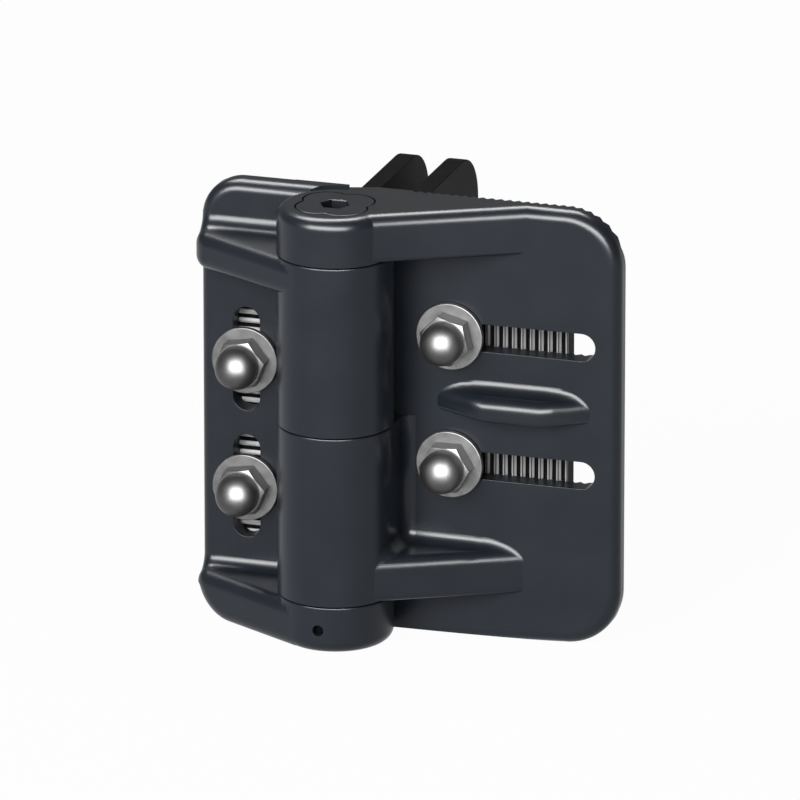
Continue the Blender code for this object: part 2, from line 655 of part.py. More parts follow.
def post_leaf(finish):
    """The left moulding: plate, arms, second and fourth knuckles, upright slots."""
    inner = AXIS.x - LEAF_SPLIT - LEAF_PARTING
    outline = plate_outline(inner, AXIS.x - POST_REACH, POST_CORNER)
    leaf = prism("post_leaf", outline, "Y", LEAF_FRONT, LEAF_BACK, finish)
    round_edges(leaf, lambda a, b: max(a.y, b.y) < LEAF_FRONT + TOLERANCE
                and min(a.x, b.x) < inner - TOLERANCE, EDGE_ROUND, FILLET_STEPS)
    forms = [
        arm(UNDER_SEAM[0], ARM_HEIGHT, upper_foot),
        arm(UNDER_SEAM[2], UNDER_SEAM[2] - BOTTOM, lower_foot),
        knuckle(-1, True, OVER_SEAM[1], UNDER_SEAM[0], SEAM_CHAMFER),
        knuckle(-1, False, BOTTOM, UNDER_SEAM[2], SEAM_CHAMFER, EDGE_ROUND),
    ]
    combine(leaf, forms, "UNION")
    teeth = level_teeth(AXIS.x - POST_REACH - OVERCUT, AXIS.x - POST_TEETH_START,
                        LEAF_BACK - TOOTH_SETBACK, LEAF_BACK - TOOTH_DEPTH, LEAF_BACK + OVERCUT)
    cuts = [
        drum(HOLLOW_RADIUS, UNDER_SEAM[0], TOP + OVERCUT),
        drum(HOLLOW_RADIUS, UNDER_SEAM[2], OVER_SEAM[1]),
        drum(FIXED_BORE, BOTTOM - OVERCUT, TOP),
        teeth,
    ]
    for level in (UNDER_SEAM[0], UNDER_SEAM[2]):
        cuts.append(drum(THRUST_WASHER_RADIUS + GAP, level - THRUST_SEAT_DEPTH, level + GAP))
    for level in POST_BOLTS:
        outline = slot_outline((POST_BOLT_X, level), POST_SLOT_LENGTH, SLOT_WIDTH, True)
        cuts.append(prism("slot", outline, "Y", LEAF_FRONT - OVERCUT, LEAF_BACK + OVERCUT))
    hole = circle((AXIS.x, PIN_LEVEL), PIN_HOLE, PIN_SIDES)
    cuts.append(prism("hole", hole, "Y", AXIS.y - BARREL_RADIUS - OVERCUT, AXIS.y - PIN_REACH))
    combine(leaf, cuts, "DIFFERENCE")
    return finish_round(leaf)


def gate_moulding(finish):
    """The gate leaf's plate, top knuckle and web, with the rounding along their rim."""
    inner = AXIS.x - LEAF_SPLIT + LEAF_PARTING
    outline = plate_outline(inner, AXIS.x + GATE_REACH, GATE_CORNER)
    leaf = prism("gate_leaf", outline, "Y", LEAF_FRONT, LEAF_BACK, finish)
    combine(leaf, [knuckle(1, False, OVER_SEAM[0], TOP), web_block()], "UNION")
    tidy_faces(leaf)

    def wanted(a, b):
        level = max(abs(a.z - TOP), abs(b.z - TOP)) < TOLERANCE
        front = max(abs(a.y - LEAF_FRONT), abs(b.y - LEAF_FRONT)) < TOLERANCE
        beside_web = (max(a.z, b.z) < TOP - TOLERANCE and min(a.z, b.z) > BOTTOM + TOLERANCE
                      and max(a.x, b.x) < AXIS.x + WEB_FOOT + SINK)
        rim = front and min(a.x, b.x) > inner + TOLERANCE
        return (level and max(a.y, b.y) < LEAF_BACK - TOLERANCE or rim) and not beside_web

    return round_edges(leaf, wanted, EDGE_ROUND, FILLET_STEPS)


def gate_leaf(finish):
    """The right moulding: plate, web, gusset, boss, first and third knuckles, level slots."""
    leaf = gate_moulding(finish)
    long_knuckle = knuckle(1, True, OVER_SEAM[2], UNDER_SEAM[1], SEAM_CHAMFER)
    combine(leaf, [long_knuckle, gusset(), boss()] + gusset_coves(), "UNION")
    inner = AXIS.x - LEAF_SPLIT + LEAF_PARTING
    step = LEAF_BACK - BACK_RELIEF_DEPTH
    relief = [(inner - OVERCUT, step), (inner, step), (AXIS.x + BACK_RELIEF_X, LEAF_BACK),
              (AXIS.x + BACK_RELIEF_X, LEAF_BACK + OVERCUT), (inner - OVERCUT, LEAF_BACK + OVERCUT)]
    cuts = [
        drum(HOLLOW_RADIUS, UNDER_SEAM[1], OVER_SEAM[0]),
        drum(HOLLOW_RADIUS, BOTTOM - OVERCUT, OVER_SEAM[2]),
        prism("relief", relief, "Z", BOTTOM - OVERCUT, TOP + OVERCUT),
        upright_teeth(AXIS.x + GATE_REACH + OVERCUT, LEAF_BACK - TOOTH_SETBACK,
                      LEAF_BACK - TOOTH_DEPTH, LEAF_BACK + OVERCUT),
        prism("recess", lobe_outline(GAP), "Z", TOP - RECESS_DEPTH - GAP, TOP + OVERCUT),
        drum(BUSH_SEAT, OVER_SEAM[0] - GAP, TOP - RECESS_DEPTH),
        drum(TURNING_BORE, SEAMS[2], SEAMS[1]),
        drum(BUSH_SEAT, UNDER_SEAM[1] - LONG_BUSH_HEIGHT - GAP, SEAMS[1]),
        drum(BUSH_SEAT, SEAMS[2], OVER_SEAM[2] + LONG_BUSH_HEIGHT + GAP),
    ]
    middle = AXIS.x + (GATE_SLOT_START + GATE_SLOT_END) / 2
    for level in GATE_BOLTS:
        outline = slot_outline((middle, level), GATE_SLOT_END - GATE_SLOT_START, SLOT_WIDTH, False)
        cuts.append(prism("slot", outline, "Y", LEAF_FRONT - OVERCUT, LEAF_BACK + OVERCUT))
    combine(leaf, cuts, "DIFFERENCE")
    return finish_round(leaf)


def leg_outline():
    """Side view of a bracket's leg, in y and z, with its two far corners round."""
    low = BOTTOM + BRACKET_INSET
    high = TOP - BRACKET_INSET
    tip = LEAF_BACK + LEG_REACH - LEG_CORNER
    upper = arc((tip, high - LEG_CORNER), LEG_CORNER, 90, 0, CORNER_STEPS)
    lower = arc((tip, low + LEG_CORNER), LEG_CORNER, 0, -90, CORNER_STEPS)
    return [(-BRACKET_THICKNESS, high)] + upper + lower + [(-BRACKET_THICKNESS, low)]


def bracket_outline(inner, outer):
    """Front view of a bracket's plate, with its two outer corners round."""
    way = 1 if outer > inner else -1
    x = outer - way * BRACKET_CORNER
    low = BOTTOM + BRACKET_INSET
    high = TOP - BRACKET_INSET
    upper = arc((0.0, high - BRACKET_CORNER), BRACKET_CORNER, 90, 0, CORNER_STEPS)
    lower = arc((0.0, low + BRACKET_CORNER), BRACKET_CORNER, 0, -90, CORNER_STEPS)
    return [(inner, high)] + [(x + way * u, v) for u, v in upper + lower] + [(inner, low)]


def bracket(side, finish):
    """A toothed steel angle: its plate takes the two studs, its leg two fixing screws."""
    front = -BRACKET_THICKNESS
    tip = front - TOOTH_DEPTH
    root = front + SINK
    if side == "post":
        leg = (AXIS.x + POST_LEG_START, AXIS.x + POST_LEG_START + LEG_THICKNESS)
        inner, outer = leg[1], POST_BOLT_X - POST_BRACKET_MARGIN
        teeth = level_teeth(outer - OVERCUT, AXIS.x - POST_TEETH_START - GAP, front, tip, root)
        stud_x, studs = POST_BOLT_X, POST_BOLTS
    else:
        leg = (AXIS.x + GATE_LEG_START, AXIS.x + GATE_LEG_START + LEG_THICKNESS)
        inner, outer = leg[0], GATE_BOLT_X + GATE_BRACKET_MARGIN
        teeth = upright_teeth(outer + OVERCUT, front, tip, root)
        stud_x, studs = GATE_BOLT_X, GATE_BOLTS
    outline = bracket_outline(inner, outer)
    combine(teeth, [prism("bound", outline, "Y", tip - OVERCUT, 0.0)], "INTERSECT")
    made = prism(f"{side}_bracket", outline, "Y", front, 0.0, finish)
    combine(made, [teeth, prism("leg", leg_outline(), "X", *leg)], "UNION")
    cuts = []
    for level in studs:
        hole = circle((stud_x, level), STUD_RADIUS + GAP, SMALL_SIDES)
        seat = circle((stud_x, level), STUD_HEAD_RADIUS + GAP, SMALL_SIDES)
        cuts.append(prism("hole", hole, "Y", tip - OVERCUT, OVERCUT))
        cuts.append(prism("seat", seat, "Y", -STUD_HEAD_THICKNESS - GAP, OVERCUT))
    inset = BRACKET_INSET + LEG_HOLE_INSET
    for level in (BOTTOM + inset, TOP - inset):
        hole = circle((LEAF_BACK + LEG_HOLE_REACH, level), LEG_HOLE_RADIUS, SMALL_SIDES)
        cuts.append(prism("hole", hole, "X", leg[0] - OVERCUT, leg[1] + OVERCUT))
    combine(made, cuts, "DIFFERENCE")
    return finish_round(made)


def stud(name, centre, finish):
    """A stud pressed into the bracket from behind, its head flush with the bracket's back."""
    length = -STUD_END
    profile = [
        (0.0, 0.0), (STUD_HEAD_RADIUS, 0.0), (STUD_HEAD_RADIUS, STUD_HEAD_THICKNESS),
        (STUD_RADIUS, STUD_HEAD_THICKNESS), (STUD_RADIUS, length - STUD_END_CHAMFER),
        (STUD_RADIUS - STUD_END_CHAMFER, length), (0.0, length),
    ]
    return finish_round(turned(name, profile, SMALL_SIDES, centre, finish, "Y"))


def washer(name, centre, finish):
    """A plain washer under a nut."""
    start = -WASHER_BACK
    end = start + WASHER_THICKNESS
    profile = [(WASHER_BORE, start), (WASHER_RADIUS, start), (WASHER_RADIUS, end), (WASHER_BORE, end)]
    return finish_round(turned(name, profile, WASHER_SIDES, centre, finish, "Y"))


def nut(name, centre, turn, finish):
    """A domed nut: chamfered hexagon, dome, blind bore."""
    start = -NUT_BACK
    corner = NUT_ACROSS_FLATS / math.sqrt(3)
    flat = NUT_ACROSS_FLATS / 2
    outline = hexagon((centre[0], centre[2]), NUT_ACROSS_FLATS, turn)
    made = prism(name, outline, "Y", NUT_BACK, NUT_BACK - NUT_HEX_HEIGHT, finish)
    shoulder = NUT_HEX_HEIGHT - (corner + OVERCUT - flat) * math.tan(NUT_CHAMFER_ANGLE)
    limit = [(0.0, start - OVERCUT), (corner + OVERCUT, start - OVERCUT),
             (corner + OVERCUT, start + shoulder), (flat, start + NUT_HEX_HEIGHT),
             (flat, start + NUT_HEIGHT), (0.0, start + NUT_HEIGHT)]
    combine(made, [turned("limit", limit, SMALL_SIDES, centre, None, "Y")], "INTERSECT")
    spring_line = start + NUT_HEIGHT - NUT_DOME_RADIUS
    dome = [(0.0, start + NUT_HEX_HEIGHT / 2), (NUT_DOME_RADIUS, start + NUT_HEX_HEIGHT / 2)]
    dome += arc((0.0, spring_line), NUT_DOME_RADIUS, 0, 90, NUT_DOME_STEPS)[:-1]
    dome.append((0.0, start + NUT_HEIGHT))
    combine(made, [turned("dome", dome, SMALL_SIDES, centre, None, "Y")], "UNION")
    bore = circle((centre[0], centre[2]), STUD_RADIUS + GAP, SMALL_SIDES)
    combine(made, [prism("bore", bore, "Y", NUT_BACK + OVERCUT, NUT_BACK - NUT_BORE_DEPTH)], "DIFFERENCE")
    return finish_round(made, NUT_SHARP_ANGLE)


def tail_hole(low, high):
    """What cuts the hole for one of the spring's tails, on the gate's side of the axis."""
    outline = circle((AXIS.x + COIL_RADIUS, AXIS.y), WIRE_RADIUS + GAP, TAIL_HOLE_SIDES)
    return prism("hole", outline, "Z", low, high)


def tension_adjuster(finish):
    """Lobed head with a hexagon socket, retaining flange, stem in the tube, spigot in the spring."""
    made = prism("tension_adjuster", lobe_outline(0), "Z", TOP - LOBE_THICKNESS, TOP, finish)
    spigot = STEM_BOTTOM - SPIGOT_LENGTH
    neck = TOP - LOBE_THICKNESS / 2
    profile = [
        (0.0, spigot), (SPIGOT_RADIUS, spigot), (SPIGOT_RADIUS, STEM_BOTTOM),
        (STEM_RADIUS, STEM_BOTTOM), (STEM_RADIUS, FLANGE_BOTTOM), (BUSH_RADIUS, FLANGE_BOTTOM),
        (BUSH_RADIUS, FLANGE_TOP), (STEM_RADIUS, FLANGE_TOP), (STEM_RADIUS, neck), (0.0, neck),
    ]
    combine(made, [turned("body", profile, BARREL_SIDES, AXIS)], "UNION")
    socket = hexagon(AXIS.xy, HEX_ACROSS_FLATS, 0)
    cuts = [prism("socket", socket, "Z", TOP - HEX_DEPTH, TOP + OVERCUT),
            tail_hole(STEM_BOTTOM - OVERCUT, STEM_BOTTOM + TAIL_LENGTH)]
    combine(made, cuts, "DIFFERENCE")
    return finish_round(made)


def spring_anchor(finish):
    """The plug at the barrel's foot that holds the spring's lower tail."""
    spigot = STEM_TOP + SPIGOT_LENGTH
    profile = [
        (0.0, PLUG_BOTTOM), (TUBE_RADIUS, PLUG_BOTTOM), (TUBE_RADIUS, PLUG_TOP),
        (STEM_RADIUS, PLUG_TOP), (STEM_RADIUS, STEM_TOP), (SPIGOT_RADIUS, STEM_TOP),
        (SPIGOT_RADIUS, spigot), (0.0, spigot),
    ]
    made = turned("spring_anchor", profile, BARREL_SIDES, AXIS, finish)
    hole = circle((AXIS.x, PIN_LEVEL), PIN_HOLE, PIN_SIDES)
    cuts = [prism("hole", hole, "Y", AXIS.y - TUBE_RADIUS - OVERCUT, AXIS.y - PIN_REACH + GAP),
            tail_hole(STEM_TOP - TAIL_LENGTH, STEM_TOP + OVERCUT)]
    combine(made, cuts, "DIFFERENCE")
    return finish_round(made)


def anchor_pin(finish):
    """The cross pin that keeps the plug from turning, pressed in from the front."""
    outline = circle((AXIS.x, PIN_LEVEL), PIN_RADIUS, PIN_SIDES)
    made = prism("anchor_pin", outline, "Y", AXIS.y - BARREL_RADIUS + PIN_RECESS, AXIS.y - PIN_REACH, finish)
    return finish_round(made)


def torsion_spring(finish):
    """A round-wire torsion spring with both tails bent along its axis."""
    low = STEM_TOP + GAP + WIRE_RADIUS
    high = STEM_BOTTOM - GAP - WIRE_RADIUS
    centre = Vector((AXIS.x, AXIS.y, 0.0))
    out = Vector((COIL_RADIUS, 0.0, 0.0))
    tail = TAIL_LENGTH - GAP
    path = [centre + out + Vector((0.0, 0.0, STEM_TOP - tail))]
    count = COIL_TURNS * COIL_STEPS
    for i in range(count + 1):
        turn = Matrix.Rotation(-2 * math.pi * i / COIL_STEPS, 3, "Z")
        path.append(centre + turn @ out + Vector((0.0, 0.0, low + (high - low) * i / count)))
    path.append(centre + out + Vector((0.0, 0.0, STEM_BOTTOM + tail)))
    bm = bmesh.new()
    rings = []
    for i, point in enumerate(path):
        along = (path[min(i + 1, len(path) - 1)] - path[max(i - 1, 0)]).normalized()
        radial = (point - centre) * Vector((1, 1, 0))
        side = (radial - along * radial.dot(along)).normalized()
        lift = along.cross(side)
        ring_points = circle((0.0, 0.0), WIRE_RADIUS, WIRE_SIDES)
        rings.append([bm.verts.new(point + side * u + lift * v) for u, v in ring_points])
    for near, far in zip(rings, rings[1:]):
        for i in range(WIRE_SIDES):
            j = (i + 1) % WIRE_SIDES
            bm.faces.new((near[i], near[j], far[j], far[i]))
    bm.faces.new(rings[0])
    bm.faces.new(reversed(rings[-1]))
    return finish_round(add_object("torsion_spring", bm, finish), SPRING_SHARP_ANGLE)


def bolts(side, x, levels, stud_finish, washer_finish, nut_finish):
    """The studs, washers and domed nuts of one leaf."""
    for name, level, turn in zip(("upper", "lower"), levels, NUT_TURNS[side]):
        centre = Vector((x, 0.0, level))
        stud(f"{side}_stud_{name}", centre, stud_finish)
        washer(f"{side}_washer_{name}", centre, washer_finish)
        nut(f"{side}_nut_{name}", centre, turn, nut_finish)


def barrel_inside(steel, spring_steel, bearing):
    """The tube, the spring and everything that bears on them."""
    ring("hinge_tube", TUBE_BORE, TUBE_RADIUS, TUBE_BOTTOM, TUBE_TOP, steel)
    seats = {
        "bush_top": (OVER_SEAM[0] + GAP, TUBE_TOP),
        "bush_middle": (UNDER_SEAM[1] - LONG_BUSH_HEIGHT, UNDER_SEAM[1] - GAP),
        "bush_bottom": (OVER_SEAM[2] + GAP, OVER_SEAM[2] + LONG_BUSH_HEIGHT),
    }
    for name, (low, high) in seats.items():
        ring(name, FIXED_BORE, BUSH_RADIUS, low, high, bearing)
    for name, level in (("upper", UNDER_SEAM[0]), ("lower", UNDER_SEAM[2])):
        ring(f"thrust_washer_{name}", FIXED_BORE, THRUST_WASHER_RADIUS,
             level - THRUST_WASHER_THICKNESS, level, bearing)
    spring_anchor(bearing)
    anchor_pin(steel)
    torsion_spring(spring_steel)


clear_scene()
BLACK_NYLON = material("black_nylon", (0.035, 0.037, 0.041), 0.38)
BLACK_METAL = material("black_metal", (0.05, 0.05, 0.052), 0.45, 0.4)
STEEL = material("bright_steel", (0.55, 0.55, 0.56), 0.3, 1.0)
POLISHED = material("polished_steel", (0.75, 0.75, 0.76), 0.12, 1.0)
BEARING = material("bearing_plastic", (0.75, 0.74, 0.70), 0.5)
SPRING_STEEL = material("spring_steel", (0.25, 0.25, 0.27), 0.35, 1.0)

post_leaf(BLACK_NYLON)
gate_leaf(BLACK_NYLON)
bracket("post", BLACK_METAL)
bracket("gate", BLACK_METAL)
bolts("post", POST_BOLT_X, POST_BOLTS, STEEL, STEEL, POLISHED)
bolts("gate", GATE_BOLT_X, GATE_BOLTS, STEEL, STEEL, POLISHED)
barrel_inside(STEEL, SPRING_STEEL, BEARING)
tension_adjuster(BLACK_NYLON)
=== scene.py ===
# %% [markdown]
# # Self-closing gate hinge
# Two moulded black leaves turn on a sprung barrel. Each leaf is clamped to a toothed angle
# bracket by two studs with washers and domed nuts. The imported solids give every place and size.
# This file models each visible piece again with a finer surface, gives it a finish of its own,
# and sets the light and the camera.

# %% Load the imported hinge
import json
import math

import bmesh
import bpy
from mathutils import Matrix, Vector

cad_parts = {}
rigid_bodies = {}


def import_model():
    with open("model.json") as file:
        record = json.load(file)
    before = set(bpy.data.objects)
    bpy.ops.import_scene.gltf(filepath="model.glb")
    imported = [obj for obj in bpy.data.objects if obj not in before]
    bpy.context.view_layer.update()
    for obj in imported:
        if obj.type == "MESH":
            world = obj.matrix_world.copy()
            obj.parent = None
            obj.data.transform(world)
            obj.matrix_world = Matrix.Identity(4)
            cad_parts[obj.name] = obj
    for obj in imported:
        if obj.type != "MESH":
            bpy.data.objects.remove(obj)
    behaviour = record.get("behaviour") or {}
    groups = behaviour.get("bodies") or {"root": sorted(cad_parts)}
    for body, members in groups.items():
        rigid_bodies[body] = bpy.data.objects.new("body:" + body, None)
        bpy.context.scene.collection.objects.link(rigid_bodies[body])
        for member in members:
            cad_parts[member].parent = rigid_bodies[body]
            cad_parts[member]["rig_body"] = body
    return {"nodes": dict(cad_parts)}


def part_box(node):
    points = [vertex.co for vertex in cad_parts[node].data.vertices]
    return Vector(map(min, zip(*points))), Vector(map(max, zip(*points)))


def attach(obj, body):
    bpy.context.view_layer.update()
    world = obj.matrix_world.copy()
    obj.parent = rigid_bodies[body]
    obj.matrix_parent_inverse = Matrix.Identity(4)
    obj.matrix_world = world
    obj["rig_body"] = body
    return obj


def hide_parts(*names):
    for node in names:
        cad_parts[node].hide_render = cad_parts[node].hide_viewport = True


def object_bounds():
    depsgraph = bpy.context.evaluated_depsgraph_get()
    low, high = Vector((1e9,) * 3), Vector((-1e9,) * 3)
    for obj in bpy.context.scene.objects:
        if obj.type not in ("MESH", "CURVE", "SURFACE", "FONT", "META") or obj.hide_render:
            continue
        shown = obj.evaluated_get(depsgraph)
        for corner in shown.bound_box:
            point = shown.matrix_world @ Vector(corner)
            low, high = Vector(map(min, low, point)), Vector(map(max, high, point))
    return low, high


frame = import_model()
nodes = frame["nodes"]
cad_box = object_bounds()
BODY_OF = {name: node["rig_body"] for name, node in nodes.items()}
print("nodes:", len(nodes), "size in mm:", [round(1000 * side, 1) for side in cad_box[1] - cad_box[0]])

# %% [markdown]
# Fasteners and mouldings are drawn in millimetres, so this file models in millimetres too and
# scales each finished piece down once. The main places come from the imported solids: the tube
# gives the hinge axis, the leaves give the top, the bottom and the outer edges, and each washer
# gives the place of its bolt.

# %% Main places, in millimetres
MM = 1000.0


def box_mm(node):
    """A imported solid's lowest and highest corner in millimetres."""
    low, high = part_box(node)
    return low * MM, high * MM


GATE_LOW, GATE_HIGH = box_mm("gate_leaf")
POST_LOW, _ = box_mm("post_leaf")
TUBE_LOW, TUBE_HIGH = box_mm("hinge_tube")
AXIS = (TUBE_LOW + TUBE_HIGH) / 2 * Vector((1, 1, 0))
TOP, BOTTOM = GATE_HIGH.z, GATE_LOW.z
BACK = GATE_HIGH.y
BARREL = AXIS.y - GATE_LOW.y
GATE_REACH, POST_REACH = GATE_HIGH.x - AXIS.x, AXIS.x - POST_LOW.x
BOLTS = {}
for bolt in ("post_upper", "post_lower", "gate_upper", "gate_lower"):
    side, level = bolt.split("_")
    low, high = box_mm(f"{side}_washer_{level}")
    BOLTS[bolt] = (low + high) / 2
print("axis:", [round(v, 2) for v in AXIS], "barrel radius:", round(BARREL, 2), "top:", round(TOP, 2))

# %% [markdown]
# The hinge was photographed from its right and from a little above, by a lens so long that edges
# that are parallel stay parallel. A camera three metres away with a long lens does the same.

# %% Camera
VIEW_AZIMUTH = math.radians(17.6)
VIEW_ELEVATION = math.radians(18.4)
VIEW_CENTRE = Vector((0.0397, -0.0120, 0.0103))
VIEW_WIDTH = 0.1934
VIEW_DISTANCE = 3.0
SENSOR = 36.0


def add_camera():
    """A long lens at the photograph's angle, framed so that VIEW_WIDTH fills the picture."""
    back = Vector((math.sin(VIEW_AZIMUTH) * math.cos(VIEW_ELEVATION),
                   -math.cos(VIEW_AZIMUTH) * math.cos(VIEW_ELEVATION), math.sin(VIEW_ELEVATION)))
    data = bpy.data.cameras.new("camera")
    data.sensor_width = SENSOR
    data.lens = SENSOR * VIEW_DISTANCE / VIEW_WIDTH
    made = bpy.data.objects.new("camera", data)
    bpy.context.scene.collection.objects.link(made)
    made.location = VIEW_CENTRE + back * VIEW_DISTANCE
    made.rotation_euler = back.to_track_quat("Z", "Y").to_euler()
    bpy.context.scene.camera = made
    return data


print("lens in mm:", round(add_camera().lens))

# %% [markdown]
# Black plastic shows its form by what it mirrors, and in the photograph its rounded edges carry
# two soft bright lines. Two wide softboxes make them, one low in front and one high behind. A
# third, square one makes the white middle of the nuts' domes. All three show in mirrors only, and
# each is linked to the pieces that it is there for. The plain level that colours are judged at
# comes from one large soft lamp and a grey surround.

# %% Lamps and surround
SOFTBOXES = {
    "front_softbox": {"azimuth": 0, "elevation": 26, "aside": 0.0, "size": (2.4, 0.70), "radiance": 40},
    "rear_softbox": {"azimuth": 0, "elevation": 111, "aside": -0.35, "size": (1.3, 0.70), "radiance": 28},
    "dome_softbox": {"azimuth": 17, "elevation": 24, "aside": 0.0, "size": (2.2, 2.2), "radiance": 34},
}
KEY = {"place": (-0.45, -1.9, 1.0), "size": 1.2, "level": 0.8}
WORLD_LEVEL = 0.20
SOFTBOX_DISTANCE = 1.5
MOULDING_LAMPS, METAL_LAMPS = ("front_softbox", "rear_softbox"), ("dome_softbox",)
LIT = {}


def add_lamp(name, place, size, power):
    """A rectangular lamp that faces the hinge."""
    data = bpy.data.lights.new(name, "AREA")
    data.shape = "RECTANGLE"
    data.size, data.size_y = size
    data.energy = power
    made = bpy.data.objects.new(name, data)
    bpy.context.scene.collection.objects.link(made)
    made.location = place
    made.rotation_euler = (Vector(place) - VIEW_CENTRE).to_track_quat("Z", "Y").to_euler()
    return made


def add_softbox(name, azimuth, elevation, aside, size, radiance):
    """A softbox that shows in mirrors only; past 90 degrees of elevation it stands behind the hinge."""
    turn, rise = math.radians(azimuth), math.radians(elevation)
    away = Vector((math.sin(turn) * math.cos(rise), -math.cos(turn) * math.cos(rise), math.sin(rise)))
    place = VIEW_CENTRE + SOFTBOX_DISTANCE * away + Vector((aside, 0.0, 0.0))
    made = add_lamp(name, place, size, radiance * math.pi * size[0] * size[1])
    made.visible_diffuse = False
    LIT[name] = bpy.data.collections.new(f"{name}_pieces")
    made.light_linking.receiver_collection = LIT[name]


def add_key(place, size, level):
    """A soft lamp that brings a surface facing it to the given level, and shows in no mirror."""
    distance = (Vector(place) - VIEW_CENTRE).length
    made = add_lamp("key", place, (size, size), level * (math.pi * distance)**2)
    made.visible_glossy = False


def add_world():
    """An even grey surround."""
    world = bpy.data.worlds.new("surround")
    world.use_nodes = True
    background = world.node_tree.nodes["Background"]
    background.inputs["Color"].default_value = (1.0, 1.0, 1.0, 1.0)
    background.inputs["Strength"].default_value = WORLD_LEVEL
    bpy.context.scene.world = world


for softbox, values in SOFTBOXES.items():
    add_softbox(softbox, **values)
add_key(**KEY)
add_world()
bpy.context.scene.view_settings.view_transform = "Standard"
print("lamps:", len(bpy.data.lights))

# %% [markdown]
# The floor is pale. It is white to the eye and in mirrors, so that the picture's ground is white
# and the domes have something bright below them, and it still keeps some of the hinge's shadow.

# %% Floor
FLOOR_SIZE = 30.0
FLOOR_GLOW = 0.97
FLOOR_COLOUR = (0.95, 0.95, 0.95, 1.0)


def add_node(tree, kind, **values):
    """A new shader node with some of its settings."""
    made = tree.nodes.new(kind)
    for name, value in values.items():
        setattr(made, name, value)
    return made


def floor_material():
    """Pale floor that is white to the camera and to mirrors, and clear from underneath."""
    made = bpy.data.materials.new("pale_floor")
    made.use_nodes = True
    tree = made.node_tree
    tree.nodes.clear()
    paint = add_node(tree, "ShaderNodeBsdfDiffuse")
    paint.inputs["Color"].default_value = FLOOR_COLOUR
    glow = add_node(tree, "ShaderNodeEmission")
    glow.inputs["Strength"].default_value = 1.0
    rays = add_node(tree, "ShaderNodeLightPath")
    seen = add_node(tree, "ShaderNodeMath", operation="ADD")
    seen_too = add_node(tree, "ShaderNodeMath", operation="ADD", use_clamp=True)
    share = add_node(tree, "ShaderNodeMath", operation="MULTIPLY")
    share.inputs[1].default_value = FLOOR_GLOW
    mixed = add_node(tree, "ShaderNodeMixShader")
    clear = add_node(tree, "ShaderNodeBsdfTransparent")
    side = add_node(tree, "ShaderNodeNewGeometry")
    sided = add_node(tree, "ShaderNodeMixShader")
    out = add_node(tree, "ShaderNodeOutputMaterial")
    link = tree.links.new
    link(rays.outputs["Is Camera Ray"], seen.inputs[0])
    link(rays.outputs["Is Glossy Ray"], seen.inputs[1])
    link(seen.outputs[0], seen_too.inputs[0])
    link(rays.outputs["Is Transmission Ray"], seen_too.inputs[1])
    link(seen_too.outputs[0], share.inputs[0])
    link(share.outputs[0], mixed.inputs["Fac"])
    link(paint.outputs[0], mixed.inputs[1])
    link(glow.outputs[0], mixed.inputs[2])
    link(side.outputs["Backfacing"], sided.inputs["Fac"])
    link(mixed.outputs[0], sided.inputs[1])
    link(clear.outputs[0], sided.inputs[2])
    link(sided.outputs[0], out.inputs["Surface"])
    return made


def add_floor():
    """A wide level floor that the hinge stands on."""
    bm = bmesh.new()
    bmesh.ops.create_grid(bm, x_segments=1, y_segments=1, size=FLOOR_SIZE / 2)
    bmesh.ops.translate(bm, verts=bm.verts, vec=(0.0, 0.0, cad_box[0].z))
    mesh = bpy.data.meshes.new("floor")
    bm.to_mesh(mesh)
    bm.free()
    mesh.materials.append(floor_material())
    made = bpy.data.objects.new("floor", mesh)
    bpy.context.scene.collection.objects.link(made)


add_floor()
print("floor at z in mm:", round(MM * cad_box[0].z, 2))

# %% [markdown]
# A finish is a shader whose colour, gloss and relief vary a little from place to place. All of
# them here are made the same way: a coarse noise drifts the colour and the gloss, and a fine one
# gives the relief.

# %% A helper for finishes
DRIFT_SPAN = (0.3, 0.7)
DRIFT_DETAIL, GRAIN_DETAIL, GRAIN_STRENGTH = 3.0, 2.0, 0.6


def finish(name, dark, light, rough, drift, grain, relief, metallic=0.0, specular=0.5):
    """A procedural finish: drift and grain are noise scales per metre, relief is the grain's depth."""
    made = bpy.data.materials.new(name)
    made.use_nodes = True
    tree = made.node_tree
    shader = tree.nodes["Principled BSDF"]
    shader.inputs["Metallic"].default_value = metallic
    shader.inputs["Specular IOR Level"].default_value = specular
    place = add_node(tree, "ShaderNodeTexCoord")
    broad = add_node(tree, "ShaderNodeTexNoise")
    broad.inputs["Scale"].default_value = drift
    broad.inputs["Detail"].default_value = DRIFT_DETAIL
    fine = add_node(tree, "ShaderNodeTexNoise")
    fine.inputs["Scale"].default_value = grain
    fine.inputs["Detail"].default_value = GRAIN_DETAIL
    ramp = add_node(tree, "ShaderNodeValToRGB")
    for stop, place_of_stop, colour in zip(ramp.color_ramp.elements, DRIFT_SPAN, (dark, light)):
        stop.position = place_of_stop
        stop.color = (*colour, 1.0)
    gloss = add_node(tree, "ShaderNodeMapRange")
    for socket, value in zip(("From Min", "From Max", "To Min", "To Max"), (*DRIFT_SPAN, *rough)):
        gloss.inputs[socket].default_value = value
    bump = add_node(tree, "ShaderNodeBump")
    bump.inputs["Strength"].default_value = GRAIN_STRENGTH
    bump.inputs["Distance"].default_value = relief
    link = tree.links.new
    link(place.outputs["Object"], broad.inputs["Vector"])
    link(place.outputs["Object"], fine.inputs["Vector"])
    link(broad.outputs["Fac"], ramp.inputs["Fac"])
    link(broad.outputs["Fac"], gloss.inputs["Value"])
    link(fine.outputs["Fac"], bump.inputs["Height"])
    link(ramp.outputs["Color"], shader.inputs["Base Color"])
    link(gloss.outputs["Result"], shader.inputs["Roughness"])
    link(bump.outputs["Normal"], shader.inputs["Normal"])
    return made


# %% [markdown]
# The leaves are glass-filled nylon: a blue-black plastic with a satin skin that follows the
# mould's fine grain. The brackets are coated black. Washers are plain zinc, nuts polished
# stainless steel.

